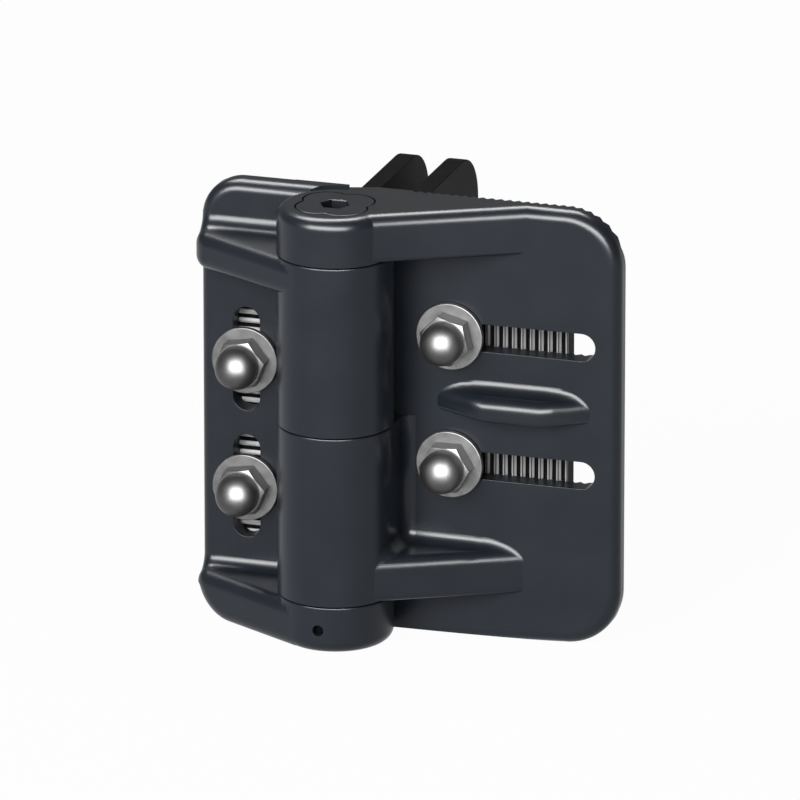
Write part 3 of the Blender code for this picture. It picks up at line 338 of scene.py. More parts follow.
# %% The hinge's finishes
NYLON = finish("moulded_nylon", (0.0145, 0.0185, 0.0265), (0.0165, 0.0210, 0.0290), (0.28, 0.31),
               90, 3500, 0.000002, specular=0.20)
# One coat in two copies, post and gate, which get different painted light and shade on their teeth below.
COATED_PAINTED_TEETH = {
    side: finish(f"{side}_coated_steel_painted_teeth", (0.019, 0.019, 0.020), (0.026, 0.026, 0.027), (0.50, 0.56),
                 120, 2200, 0.000006, specular=0.02)
    for side in ("post", "gate")
}
WASHER_ZINC = finish("washer_zinc", (0.058, 0.058, 0.058), (0.075, 0.075, 0.075), (0.38, 0.46),
                     400, 2600, 0.000003, metallic=1.0)
POLISHED_STEEL = finish("polished_steel", (0.055, 0.055, 0.055), (0.068, 0.068, 0.068), (0.42, 0.45),
                        250, 1500, 0.000001, metallic=1.0)
STUD_STEEL = finish("stud_steel", (0.42, 0.42, 0.43), (0.52, 0.52, 0.53), (0.28, 0.38),
                    300, 3000, 0.000003, metallic=1.0)
DARK_STEEL = finish("dark_steel", (0.004, 0.004, 0.004), (0.008, 0.008, 0.008), (0.6, 0.7),
                    500, 3000, 0.000003, specular=0.1)
OILED_STEEL = finish("oiled_spring_steel", (0.16, 0.16, 0.17), (0.25, 0.25, 0.26), (0.25, 0.4),
                     300, 3000, 0.000003, metallic=1.0)
ACETAL = finish("bearing_acetal", (0.055, 0.055, 0.058), (0.075, 0.075, 0.079), (0.36, 0.44),
                150, 3000, 0.000003)
print("finishes:", len(bpy.data.materials))

# %% [markdown]
# The brackets' teeth are milled after coating, so their flanks are bare steel. On top of that the
# finish paints light and shade by depth, with a ramp along Y whose stops go from the crests to the
# roots: painted light makes the flanks bright in the slots, and painted shade makes the roots black
# and the gate's crests dark. The post's level teeth face the light more, so each bracket has its own
# greys: a lit and a shaded copy of one coat.

# %% Teeth with painted light and shade
TOOTH_FRONT, TOOTH_ROOT = -5.3, -4.25
TOOTH_DEPTHS = (-5.16, -5.12, -4.72, -4.68)
# Greys from crest to root for each bracket: painted light on the flanks, painted shade at both roots and at
# the gate's crests; the post's set is the lit copy, the gate's the shaded one.
TOOTH_PAINTED_GREYS = {"post": (0.80, 0.90, 0.90, 0.004), "gate": (0.10, 0.52, 0.52, 0.003)}
MIX_FIRST, MIX_SECOND, MIX_RESULT = 6, 7, 2


def paint_tooth_light_and_shade(material, greys):
    """Paints what stands in front of the bracket's face by depth: flanks bright with painted light, roots and
    the gate's crests dark with painted shade.
    """
    tree = material.node_tree
    shader = tree.nodes["Principled BSDF"]
    place = tree.nodes["Texture Coordinate"]
    split = add_node(tree, "ShaderNodeSeparateXYZ")
    depth = add_node(tree, "ShaderNodeMapRange")
    depth.inputs["From Min"].default_value = TOOTH_FRONT / MM
    depth.inputs["From Max"].default_value = 0.0
    ramp = add_node(tree, "ShaderNodeValToRGB")
    stops = ramp.color_ramp.elements
    while len(stops) < len(TOOTH_DEPTHS):
        stops.new(0.5)
    for stop, y, grey in zip(stops, TOOTH_DEPTHS, greys):
        stop.position = 1 - y / TOOTH_FRONT
        stop.color = (grey, grey, grey, 1.0)
    front = add_node(tree, "ShaderNodeMath", operation="LESS_THAN")
    front.inputs[1].default_value = TOOTH_ROOT / MM
    tint = add_node(tree, "ShaderNodeMix", data_type="RGBA")
    link = tree.links.new
    link(place.outputs["Object"], split.inputs[0])
    link(split.outputs["Y"], depth.inputs["Value"])
    link(depth.outputs["Result"], ramp.inputs["Fac"])
    link(split.outputs["Y"], front.inputs[0])
    link(front.outputs[0], tint.inputs["Factor"])
    link(shader.inputs["Base Color"].links[0].from_socket, tint.inputs[MIX_FIRST])
    link(ramp.outputs["Color"], tint.inputs[MIX_SECOND])
    link(tint.outputs[MIX_RESULT], shader.inputs["Base Color"])


for side, greys in TOOTH_PAINTED_GREYS.items():
    paint_tooth_light_and_shade(COATED_PAINTED_TEETH[side], greys)
print("bare teeth on:", list(COATED_PAINTED_TEETH))

# %% [markdown]
# Four small helpers make every shape here. An arc gives the points of a round stretch. A slab is
# a flat outline pushed straight out. A turned shape is half a section spun once round. A skin is
# a grid wrapped round a row of sections, for what changes along its length.

# %% Helpers for shapes, in millimetres
MERGE = 0.001
QUARTER, CORNER, FILLET = 32, 16, 8
SMALL_FILLET, EASE_STEPS, HAIRLINE_STEPS = 4, 3, 2
HEXAGON = 6


def arc(centre, radius, start, end, steps):
    """Points from one angle to another, in degrees, both ends included."""
    angles = [math.radians(start + (end - start) * i / steps) for i in range(steps + 1)]
    return [(centre[0] + radius * math.cos(a), centre[1] + radius * math.sin(a)) for a in angles]


def ring_points(centre, radius, sides=4 * QUARTER):
    """Points once round a circle."""
    return arc(centre, radius, 0, 360, sides)[:-1]


def slab(outline, axis, low, high):
    """A flat outline pushed along X (outline in y, z), Y (in x, z) or Z (in x, y)."""
    place = {"X": lambda u, v: (low, u, v), "Y": lambda u, v: (u, low, v),
             "Z": lambda u, v: (u, v, low)}[axis]
    push = (high - low) * Vector((axis == "X", axis == "Y", axis == "Z"))
    bm = bmesh.new()
    face = bm.faces.new([bm.verts.new(place(u, v)) for u, v in outline])
    grown = bmesh.ops.extrude_face_region(bm, geom=[face])["geom"]
    moved = [item for item in grown if isinstance(item, bmesh.types.BMVert)]
    bmesh.ops.translate(bm, verts=moved, vec=push)
    bmesh.ops.recalc_face_normals(bm, faces=bm.faces)
    return bm


def turned(profile, steps=4 * QUARTER):
    """A closed profile of (radius, height) points spun once round Z."""
    bm = bmesh.new()
    points = [bm.verts.new((radius, 0.0, height)) for radius, height in profile]
    pairs = zip(points, points[1:] + points[:1])
    edges = [bm.edges.new(pair) for pair in pairs if max(pair[0].co.x, pair[1].co.x) > MERGE]
    bmesh.ops.spin(bm, geom=points + edges, cent=(0, 0, 0), axis=(0, 0, 1), dvec=(0, 0, 0),
                   angle=2 * math.pi, steps=steps, use_merge=True)
    bmesh.ops.remove_doubles(bm, verts=bm.verts, dist=MERGE)
    bmesh.ops.recalc_face_normals(bm, faces=bm.faces)
    return bm


def skin(sections):
    """A closed shape through sections that have as many points each: a grid wrapped round them."""
    rows, points = len(sections), len(sections[0])
    bm = bmesh.new()
    bmesh.ops.create_grid(bm, x_segments=rows - 1, y_segments=points, size=0.5)
    for vertex in bm.verts:
        row = round((vertex.co.x + 0.5) * (rows - 1))
        point = round((vertex.co.y + 0.5) * points) % points
        vertex.co = sections[row][point]
    bmesh.ops.remove_doubles(bm, verts=bm.verts, dist=MERGE)
    bmesh.ops.holes_fill(bm, edges=bm.edges)
    bmesh.ops.triangulate(bm, faces=[face for face in bm.faces if len(face.verts) == 4])
    bmesh.ops.recalc_face_normals(bm, faces=bm.faces)
    return bm


print("sides of a full circle:", len(ring_points((0, 0), 1)))

# %% [markdown]
# Joins and cuts use exact Booleans. Afterwards points that fell together are merged and flat
# faces become single faces, because weighted normals then shade a fillet as the smooth curve that
# it is.

# %% Helpers for joining, rounding and showing
FLAT = math.radians(0.2)


def solid_from(bm, name="tool"):
    """A loose object from a bmesh, for joining and cutting."""
    mesh = bpy.data.meshes.new(name)
    bm.to_mesh(mesh)
    bm.free()
    made = bpy.data.objects.new(name, mesh)
    bpy.context.scene.collection.objects.link(made)
    return made


def combine(base, operation, shapes):
    """Joins, cuts or intersects a bmesh with others, and gives the result as a bmesh."""
    body = solid_from(base, "body")
    tools = [solid_from(shape) for shape in shapes]
    for tool in tools:
        step = body.modifiers.new("step", "BOOLEAN")
        step.operation = operation
        step.solver = "EXACT"
        step.object = tool
    bm = bmesh.new()
    bm.from_object(body, bpy.context.evaluated_depsgraph_get())
    for used in [body] + tools:
        bpy.data.objects.remove(used)
    bmesh.ops.remove_doubles(bm, verts=bm.verts, dist=MERGE)
    bmesh.ops.dissolve_limit(bm, angle_limit=FLAT, verts=bm.verts, edges=bm.edges)
    return bm


def rounded(bm, wanted, radius, steps, sharp=25):
    """Rounds each sharp outer edge for which wanted(start, end) is true."""
    chosen = [edge for edge in bm.edges
              if len(edge.link_faces) == 2 and edge.calc_face_angle_signed() > math.radians(sharp)
              and wanted(edge.verts[0].co, edge.verts[1].co)]
    bmesh.ops.bevel(bm, geom=chosen, offset=radius, offset_type="OFFSET", segments=steps, profile=0.5,
                    affect="EDGES", material=-1, clamp_overlap=False)
    return bm


def show(name, bm, node, material, slot, sharp=35):
    """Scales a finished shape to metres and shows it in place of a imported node, on that node's body."""
    bmesh.ops.scale(bm, verts=bm.verts, vec=(1 / MM, 1 / MM, 1 / MM))
    mesh = bpy.data.meshes.new(name)
    bm.to_mesh(mesh)
    bm.free()
    mesh.materials.append(material)
    piece = bpy.data.objects.new(name, mesh)
    bpy.context.scene.collection.objects.link(piece)
    mesh.shade_smooth()
    mesh.set_sharp_from_angle(angle=math.radians(sharp))
    weighted = piece.modifiers.new("weighted", "WEIGHTED_NORMAL")
    weighted.keep_sharp = True
    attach(piece, BODY_OF[node])
    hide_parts(node)
    for lamp in MOULDING_LAMPS if slot == "black_nylon" else METAL_LAMPS:
        LIT[lamp].objects.link(piece)
    print(name, "faces:", len(mesh.polygons))
    return piece


print("edges of faces that meet below", round(math.degrees(FLAT), 1), "degrees are dissolved")

# %% [markdown]
# Both leaves are moulded to the same rules: a plate 5.5 mm thick whose front rim is rounded,
# knuckles round the tube, and ribs that meet the plate in a cove. A rib's section has a cove at
# its root and a rounded brow. The cove is where a ball of the fillet's radius would rest against
# both, which also holds where the rib runs out.

# %% Sizes that both leaves share
PLATE = 5.5
FRONT = BACK - PLATE
FRONT_DISTANCE = FRONT - AXIS.y
GAP = 0.3
RIM = 3.0
COVE = 3.1
SINK = 1.2
FEATHER = 0.03
OVERCUT = 2.0
END_KNUCKLE = 12.0
SEAMS = (TOP - END_KNUCKLE, (TOP + BOTTOM) / 2, BOTTOM + END_KNUCKLE)
OVER = [level + GAP / 2 for level in SEAMS]
UNDER = [level - GAP / 2 for level in SEAMS]
HOLLOW_CLEARANCE = 0.75
HOLLOW = BARREL + HOLLOW_CLEARANCE
FIXED_BORE, BUSH_BORE = 9.3, 10.6
THRUST_SEAT = (12.5, 1.5)
SLOT_WIDTH = 6.9
SLOT_LIP = 0.12
SPLIT = (0.6, 1.4)
PITCH, TOOTH, SETBACK = 2.25, 1.1, 0.1
SAMPLES = 400


def rib_profile(depth, across, height, fillet):
    """Cove and brow of a rib that stands depth proud, as (depth, height above its flat top)."""
    def surface(t):
        over = t - (depth - across)
        return 0.0 if over <= 0 else height * (math.sqrt(max(0.0, 1 - (over / across)**2)) - 1)

    reach = min(depth, 2 * fillet)
    samples = [reach * i / SAMPLES for i in range(SAMPLES + 1)]
    lifts = [surface(t) + math.sqrt(max(0.0, fillet**2 - (t - fillet)**2)) for t in samples]
    centre = max(lifts)
    touch = samples[lifts.index(centre)]
    sweep = math.degrees(math.atan2(surface(touch) - centre, touch - fillet)) % 360
    cove = arc((fillet, centre), fillet, 180, sweep, FILLET)
    start = math.asin(min(1.0, max(0.0, touch - (depth - across)) / across))
    turns = [start + (math.pi / 2 - start) * i / FILLET for i in range(FILLET + 1)]
    return cove, [(depth - across + across * math.sin(a), height * (math.cos(a) - 1)) for a in turns]


def rib(stations, top, drop, across, height, under):
    """A rib along X on the plates' front: stations are (x, depth), top is its flat top's height."""
    sections = []
    for x, depth in stations:
        inside = max(0.0, -depth) + FEATHER
        depth = max(depth, FEATHER / 3)
        cove, brow = rib_profile(depth, across, height, COVE)
        foot = arc((depth - under, under - drop), under, 0, -90, SMALL_FILLET)
        root = [(-SINK, foot[-1][1]), (-SINK, cove[0][1])]
        sections.append([(x, FRONT - d + inside, top + h) for d, h in cove + brow + foot + root])
    return skin(sections)


print("plate's front at y:", round(FRONT, 2), "seams at z:", [round(level, 2) for level in SEAMS])

# %% [markdown]
# A long knuckle has a wall that joins it to its own leaf's plate, with a cove where they meet.
# The knuckles' upper edges have a fine chamfer, which is the bright hairline at each seam.

# %% Knuckles
HAIRLINE = 0.5


def knuckle_outline(side, with_wall):
    """Plan of a knuckle: the barrel's circle, and for a long one the wall joining it to the plate."""
    if not with_wall:
        return ring_points(AXIS.xy, BARREL)
    wall = BARREL + COVE
    outline = arc((0, 0), BARREL, 90, 360, 3 * QUARTER)
    outline += arc((wall, FRONT_DISTANCE - COVE), COVE, 180, 90, FILLET)
    outline += [(wall, FRONT_DISTANCE + SINK), (0.0, FRONT_DISTANCE + SINK)]
    return [(AXIS.x + side * u, AXIS.y + v) for u, v in outline]


def knuckle(side, with_wall, low, high, hairline=True, bottom_round=False):
    """One knuckle between two heights."""
    bm = slab(knuckle_outline(side, with_wall), "Z", low, high)
    if hairline:
        rounded(bm, lambda a, b: min(a.z, b.z) > high - MERGE
                and max((a - AXIS).xy.length, (b - AXIS).xy.length) < BARREL + MERGE,
                HAIRLINE, HAIRLINE_STEPS)
    if bottom_round:
        rounded(bm, lambda a, b: max(a.z, b.z) < low + MERGE, RIM, FILLET)
    return bm


def drum(radius, low, high):
    """A round cutter on the hinge axis."""
    return slab(ring_points(AXIS.xy, radius), "Z", low, high)


print("points round a long knuckle:", len(knuckle_outline(1, True)))

# %% [markdown]
# A slot's edge is a little rounded where it breaks the front. The cutter carries that rounding:
# it is a skin through slot outlines that widen towards the front.

# %% Slot cutter
LIP_STEPS = 5


def slot_outline(centre, length, width, upright):
    """A slot with round ends, in x and z."""
    half = (length - width) / 2
    ends = arc((half, 0), width / 2, -90, 90, CORNER) + arc((-half, 0), width / 2, 90, 270, CORNER)
    if upright:
        return [(centre[0] + v, centre[1] + u) for u, v in ends]
    return [(centre[0] + u, centre[1] + v) for u, v in ends]


def slot_cutter(centre, length, upright):
    """A cutter for a slot, flared where it meets the plate's front."""
    turns = [math.pi / 2 * i / LIP_STEPS for i in range(LIP_STEPS + 1)]
    rows = [(FRONT - OVERCUT, SLOT_LIP)]
    rows += [(FRONT + SLOT_LIP * (1 - math.cos(a)), SLOT_LIP * (1 - math.sin(a))) for a in turns]
    rows.append((BACK + OVERCUT, 0.0))
    sections = []
    for y, wider in rows:
        outline = slot_outline(centre, length + 2 * wider, SLOT_WIDTH + 2 * wider, upright)
        sections.append([(x, y, z) for x, z in outline])
    return skin(sections)


print("slot width in mm:", SLOT_WIDTH)

# %% [markdown]
# The backs of the leaves carry teeth that mesh with the brackets': level ones on the post leaf,
# so that it can be set up and down, upright ones on the gate leaf. A comb outline pushed along
# the teeth gives both.

# %% Teeth
TOOTH_LEAD = 0.18
GATE_TEETH_START, POST_TEETH_START = 14.5, 15.0


def comb(start, end, root, tip, limit):
    """Zigzag outline of (along, depth) from root to tip and back, closed at the limit."""
    count = int(round((end - start) / PITCH))
    points = []
    for i in range(count):
        points += [(start + i * PITCH, root), (start + (i + 0.5) * PITCH, tip)]
    end = start + count * PITCH
    return points + [(end, root), (end, limit), (start, limit)]


def level_teeth(start, end, root, tip, limit):
    """Level ridges or their cutter between two places in X."""
    count = math.ceil((TOP - BOTTOM) / PITCH) + 1
    low = TOP + TOOTH_LEAD - count * PITCH
    return slab([(v, u) for u, v in comb(low, low + (count + 1) * PITCH, root, tip, limit)], "X", start, end)


def upright_teeth(end, root, tip, limit):
    """Upright ridges or their cutter, from the gate leaf's first tooth to a place in X."""
    return slab(comb(AXIS.x + GATE_TEETH_START, end, root, tip, limit), "Z", BOTTOM - OVERCUT, TOP + OVERCUT)


print("pitch of the teeth in mm:", PITCH)

# %% [markdown]
# The post leaf is the left moulding. Its two arms slope from the outer edge up to the barrel.
# Each is a skin through sections from the leaf's edge inwards, which sink with the rim's rounding
# so that the two flow together.

# %% Post leaf's arms
POST_CORNER = 10.0
ARM_HEIGHT, ARM_END, ARM_ROUND = 9.2, 5.0, 3.5
ARM_UNDER, ARM_MIDDLE = 2.5, 22.7
UPPER_COVE, LOWER_ARM_DROP = 3.8, 0.6
LEVELS = [math.pi / 2 * i / FILLET for i in range(FILLET + 1)]
RIM_STEPS = [(RIM * (1 - math.cos(a)), RIM * (1 - math.sin(a))) for a in LEVELS]
CORNER_ANGLES = (48, 54, 60, 66, 72, 78, 84, 90)
CORNER_INSETS = [inset for inset, _ in RIM_STEPS]
CORNER_INSETS += [POST_CORNER * (1 - math.cos(math.radians(angle))) for angle in CORNER_ANGLES]


def corner_rise(inset, inside=0.0):
    """Height above the leaf's bottom of its corner, or of a line that runs inside it."""
    across = max(0.0, POST_CORNER - inset)
    return POST_CORNER - math.sqrt(max(0.0, (POST_CORNER - inside)**2 - across**2))


def upper_foot(depth, drop, sunk, _):
    """The upper arm's rounded lower edge and the cove beneath it."""
    edge = arc((depth - RIM, RIM - drop), max(RIM - sunk, FEATHER), 0, -90, FILLET)
    reach = min(ARM_UNDER, depth - RIM)
    return edge + arc((reach, -drop - reach), reach + sunk, 90, 180, FILLET)


def lower_foot(depth, drop, sunk, inset):
    """The lower arm's rounded edge, which follows the leaf's corner and bottom."""
    points = []
    for inside, below in reversed(RIM_STEPS):
        rise = min(corner_rise(inset, inside), drop - ARM_ROUND)
        points.append((depth - max(below, sunk if inset < RIM else 0.0), rise - drop))
    return points


def arm(top, drop, foot, fillet):
    """One sloped arm from the post leaf's outer edge to the barrel, its front touching the barrel."""
    end = Vector((POST_REACH, ARM_END - FRONT_DISTANCE))
    lean = math.asin(BARREL / end.length) - math.atan2(end.y, end.x)
    touch = BARREL * math.sin(lean)
    sunk = dict(RIM_STEPS)
    across = ARM_ROUND / math.cos(lean)
    insets = CORNER_INSETS + [POST_REACH - ARM_MIDDLE, POST_REACH - touch, POST_REACH + touch]
    sections = []
    for inset in insets:
        level = sunk.get(inset, 0.0)
        proud = ARM_END + inset * math.tan(lean)
        back = FRONT + RIM + SINK
        if inset > POST_REACH:
            proud = ARM_END + (POST_REACH - touch) * math.tan(lean) - touch
            back = FRONT + SINK
        x = POST_LOW.x + inset
        cove, brow = rib_profile(proud, across - level, ARM_ROUND - level, fillet + level)
        upper = [(x, FRONT + FEATHER + level - d, top - level + h) for d, h in cove + brow]
        lower = [(x, FRONT + FEATHER - d, top + h) for d, h in foot(proud, drop, level, inset)]
        sections.append(upper + lower + [(x, back, lower[-1][2]), (x, back, upper[0][2])])
    return skin(sections)


print("sections of an arm:", len(CORNER_INSETS) + 3)

# %% [markdown]
# The rest of the post leaf is a plate with a rounded rim and two knuckles. What adds is joined
# first. One cut then takes away the hollows, bores, teeth and slots, as the cores and slides of
# its mould do.

# %% Post leaf
def plate_outline(inner, outer, corner, lower=None):
    """Front view of a leaf's plate, with its two outer corners round."""
    way = 1 if outer > inner else -1
    x = outer - way * corner
    high = [(x + way * u, TOP - corner + v) for u, v in arc((0, 0), corner, 90, 0, CORNER)]
    if lower is None:
        lower = [(x + way * u, BOTTOM + corner + v) for u, v in arc((0, 0), corner, 0, -90, CORNER)]
    return [(inner, TOP)] + high + lower + [(inner, BOTTOM)]


POST_SLOT = 26.4
PIN_LEVEL, PIN_HOLE, PIN_REACH = BOTTOM + 6.0, 1.4, 4.5


def post_leaf():
    """Plate, arms, second and fourth knuckles, then hollows, teeth, slots and the pin's hole."""
    inner = AXIS.x - SPLIT[1]
    lower = [(POST_LOW.x + inset, BOTTOM + corner_rise(inset)) for inset in CORNER_INSETS]
    leaf = slab(plate_outline(inner, POST_LOW.x, POST_CORNER, lower), "Y", FRONT, BACK)
    rounded(leaf, lambda a, b: max(a.y, b.y) < FRONT + MERGE and min(a.x, b.x) < inner - MERGE, RIM, FILLET)
    leaf = combine(leaf, "UNION", [
        arm(UNDER[0], ARM_HEIGHT, upper_foot, UPPER_COVE),
        arm(UNDER[2] - LOWER_ARM_DROP, UNDER[2] - LOWER_ARM_DROP - BOTTOM, lower_foot, COVE),
        knuckle(-1, True, OVER[1], UNDER[0]),
        knuckle(-1, False, BOTTOM, UNDER[2], True, True),
    ])
    cuts = [
        drum(HOLLOW, UNDER[0], TOP + OVERCUT),
        drum(HOLLOW, UNDER[2], OVER[1]),
        drum(FIXED_BORE, BOTTOM - OVERCUT, TOP),
        level_teeth(POST_LOW.x - OVERCUT, AXIS.x - POST_TEETH_START, BACK - SETBACK, BACK - TOOTH,
                    BACK + OVERCUT),
        slab(ring_points((AXIS.x, PIN_LEVEL), PIN_HOLE, QUARTER), "Y", AXIS.y - BARREL - OVERCUT,
             AXIS.y - PIN_REACH),
    ]
    for level in (UNDER[0], UNDER[2]):
        cuts.append(drum(THRUST_SEAT[0], level - THRUST_SEAT[1], level + GAP))
    for bolt in ("post_upper", "post_lower"):
        cuts.append(slot_cutter((BOLTS[bolt].x, BOLTS[bolt].z), POST_SLOT, True))
    return combine(leaf, "DIFFERENCE", cuts)


show("post_leaf_moulding", post_leaf(), "post_leaf", NYLON, "black_nylon")

# %% [markdown]
# The gate leaf is the right moulding. A sloped web joins its top knuckle to the plate, and the
# web, the knuckle and the plate share one rounded rim. The three are joined before they are
# rounded, because one bevel then runs round all of them without a seam.

# %% Gate leaf's web and rim
GATE_CORNER = 14.0
WEB_DISTANCE, WEB_FOOT, WEB_START = BARREL - 1.95, GATE_REACH - 23.5, 7.1
WEB_UNDER = 1.5
WEB_LEAN = (math.asin(WEB_DISTANCE / math.hypot(WEB_FOOT, FRONT_DISTANCE))
            + math.atan2(FRONT_DISTANCE, WEB_FOOT))


def web_depth(x):
    """How far the web's plane stands in front of the plate, at a distance from the axis."""
    return (WEB_FOOT - x) * math.tan(WEB_LEAN)


def web():
    """The sloped web between the top knuckle and the plate, rounded underneath."""
    back = FRONT_DISTANCE + SINK
    plan = [(0.0, 0.0), (WEB_START, FRONT_DISTANCE - web_depth(WEB_START)),
            (WEB_FOOT + SINK / math.tan(WEB_LEAN), back), (0.0, back)]
    bm = slab([(AXIS.x + u, AXIS.y + v) for u, v in plan], "Z", OVER[0], TOP)
    return rounded(bm, lambda a, b: max(a.z, b.z) < OVER[0] + MERGE and abs(a.x - b.x) > WEB_START
                   and min(a.y, b.y) < FRONT - RIM, WEB_UNDER, SMALL_FILLET)


def gate_rim():
    """Plate, top knuckle and web, with one rounding along the rim that they share."""
    inner = AXIS.x - SPLIT[0]
    leaf = slab(plate_outline(inner, GATE_HIGH.x, GATE_CORNER), "Y", FRONT, BACK)
    leaf = combine(leaf, "UNION", [knuckle(1, False, OVER[0], TOP, False), web()])

    def wanted(a, b):
        level = max(abs(a.z - TOP), abs(b.z - TOP)) < MERGE
        front = max(abs(a.y - FRONT), abs(b.y - FRONT)) < MERGE
        beside_web = (max(a.z, b.z) < TOP - MERGE and min(a.z, b.z) > BOTTOM + MERGE
                      and max(a.x, b.x) < AXIS.x + WEB_FOOT + SINK)
        rim = front and min(a.x, b.x) > inner + MERGE
        return (level and max(a.y, b.y) < BACK - MERGE or rim) and not beside_web

    return rounded(leaf, wanted, RIM, FILLET)


print("web's lean in degrees:", round(math.degrees(WEB_LEAN), 1))

# %% [markdown]
# The gusset carries the load low down. It repeats the web's plan, so it is a rib whose depth
# follows the web down to nothing, with more sections where it runs out. It has a cove to the
# plate, another round the third knuckle, and a ball corner where the two meet.

# %% Gate leaf's gusset
GUSSET_HEIGHT, GUSSET_ROUND, GUSSET_RUN_OUT = 10.9, 3.0, 14.3
GUSSET_STRAIGHT = WEB_FOOT - GUSSET_RUN_OUT
RUN_OUT = (0.26, 0.22, 0.18, 0.15, 0.12, 0.09, 0.065, 0.045, 0.03, 0.015)
CREASE_STEPS, CREASE_TILT = 16, 0.2


def gusset():
    """The web's plan again, with a cove to the plate."""
    places = [WEB_START, GUSSET_STRAIGHT] + [WEB_FOOT * (1 - share) for share in RUN_OUT]
    stations = [(AXIS.x + x, web_depth(x)) for x in places]
    stations += [(AXIS.x + WEB_FOOT, FEATHER), (AXIS.x + WEB_FOOT + SINK, -SINK / 2)]
    return rib(stations, OVER[2] + GUSSET_HEIGHT, GUSSET_HEIGHT, GUSSET_ROUND / math.cos(WEB_LEAN),
               GUSSET_ROUND, WEB_UNDER)


def gusset_coves():
    """The cove between the gusset's top and the third knuckle, and the ball corner at the plate."""
    top = OVER[2] + GUSSET_HEIGHT
    facing = WEB_LEAN - math.pi / 2
    stations = []
    for y in (FRONT + SINK, AXIS.y):
        reach = WEB_FOOT - (FRONT_DISTANCE - (y - AXIS.y)) / math.tan(WEB_LEAN)
        stations.append((Vector((AXIS.x + BARREL, y)), Vector((1, 0)), reach - BARREL))
    crease = facing + math.acos(WEB_DISTANCE / BARREL)
    for i in range(1, CREASE_STEPS + 1):
        turn = crease * i / CREASE_STEPS
        away = Vector((math.cos(turn), math.sin(turn)))
        reach = WEB_DISTANCE / math.cos(turn - facing) - BARREL
        stations.append((AXIS.xy + away * BARREL, away, max(reach, FEATHER)))
    sections = []
    for foot, away, reach in stations:
        tilt = max(CREASE_TILT, math.cos(math.atan2(away.y, away.x) - facing))
        cove, _ = rib_profile(reach, GUSSET_ROUND / tilt, GUSSET_ROUND, COVE)
        low = cove[-1][1] - SINK
        outline = cove + [(cove[-1][0], low), (-SINK, low), (-SINK, cove[0][1])]
        sections.append([(*(foot + away * d), top + h) for d, h in outline])
    corner = Vector((AXIS.x + BARREL, FRONT, top))
    block = slab([(corner.x - SINK, corner.y - COVE), (corner.x + COVE, corner.y - COVE),
                  (corner.x + COVE, corner.y + SINK), (corner.x - SINK, corner.y + SINK)],
                 "Z", top - SINK, top + COVE)
    ball = bmesh.new()
    bmesh.ops.create_uvsphere(ball, u_segments=4 * FILLET, v_segments=2 * FILLET, radius=COVE)
    bmesh.ops.translate(ball, verts=ball.verts, vec=corner + Vector((COVE, -COVE, COVE)))
    return [skin(sections), combine(block, "DIFFERENCE", [ball])]


print("gusset's height in mm:", GUSSET_HEIGHT)

# %% [markdown]
# An almond boss stiffens the plate between the slots. It is a rib too: it rises along a straight
# ramp, stays level and falls again, and its cove narrows as it sinks, which gives the two pointed
# ends.

# %% Gate leaf's boss
BOSS = {"height": 5.96, "rise": 6.7, "rising": 13.4, "falling": 11.0, "short": 1.1, "round": 3.0,
        "under": 1.0}
BOSS_SHARES = (0.005, 0.015, 0.04, 0.07, 0.1, 0.15, 0.2, 0.25, 0.32, 0.45, 0.7)
SLOT_MARGIN = 6.0
SLOT_START, SLOT_END = BOLTS["gate_upper"].x - AXIS.x - SLOT_WIDTH / 2, GATE_REACH - SLOT_MARGIN


def boss():
    """The almond-shaped boss half-way between the slots."""
    start, end, rise = SLOT_START, SLOT_END - BOSS["short"], BOSS["rise"]
    stations = [(start - SINK, -SINK / 2)]
    stations += [(start + BOSS["rising"] * share, rise * share) for share in BOSS_SHARES]
    stations += [(start + BOSS["rising"], rise), (end - BOSS["falling"], rise)]
    stations += [(end - BOSS["falling"] * share, rise * share) for share in reversed(BOSS_SHARES)]
    stations += [(end + SINK, -SINK / 2)]
    top = (BOLTS["gate_upper"].z + BOLTS["gate_lower"].z + BOSS["height"]) / 2
    return rib([(AXIS.x + x, depth) for x, depth in stations], top, BOSS["height"], BOSS["round"],
               BOSS["round"], BOSS["under"])


print("gate slots from the axis in mm:", round(SLOT_START, 2), "to", round(SLOT_END, 2))

# %% [markdown]
# The tension adjuster's head is four overlapping round lobes. The same outline, grown by a gap,
# cuts its seat in the top knuckle.

# %% Lobed outline
LOBE = {"reach": 10.0, "waist": 7.9, "thickness": 2.4, "count": 4}


def lobe_outline(grow):
    """The adjuster's lobed outline, each lobe an arc between two notches, grown by a clearance."""
    reach, waist = LOBE["reach"], LOBE["waist"]
    offset = (reach**2 - waist**2) / (2 * (math.sqrt(2) * reach - waist))
    radius = reach - math.sqrt(2) * offset + grow
    sweep = math.degrees(math.asin(offset / radius))
    half = 180 / LOBE["count"]
    points = []
    for i in range(LOBE["count"]):
        middle = half + i * 2 * half
        turn = math.radians(middle)
        centre = AXIS.xy + offset * math.sqrt(2) * Vector((math.cos(turn), math.sin(turn)))
        points += arc(centre, radius, middle - half - sweep, middle + half + sweep, 3 * FILLET)[:-1]
    return points


print("points round the lobes:", len(lobe_outline(0)))

# %% [markdown]
# The gate leaf is joined and cut in the same order as the post leaf. Its cuts include the bushes'
# bores and the adjuster's seat, which is the adjuster's own outline grown by the gap.

# %% Gate leaf
LONG_BUSH = 12.0
RELIEF = (6.0, 2.0)


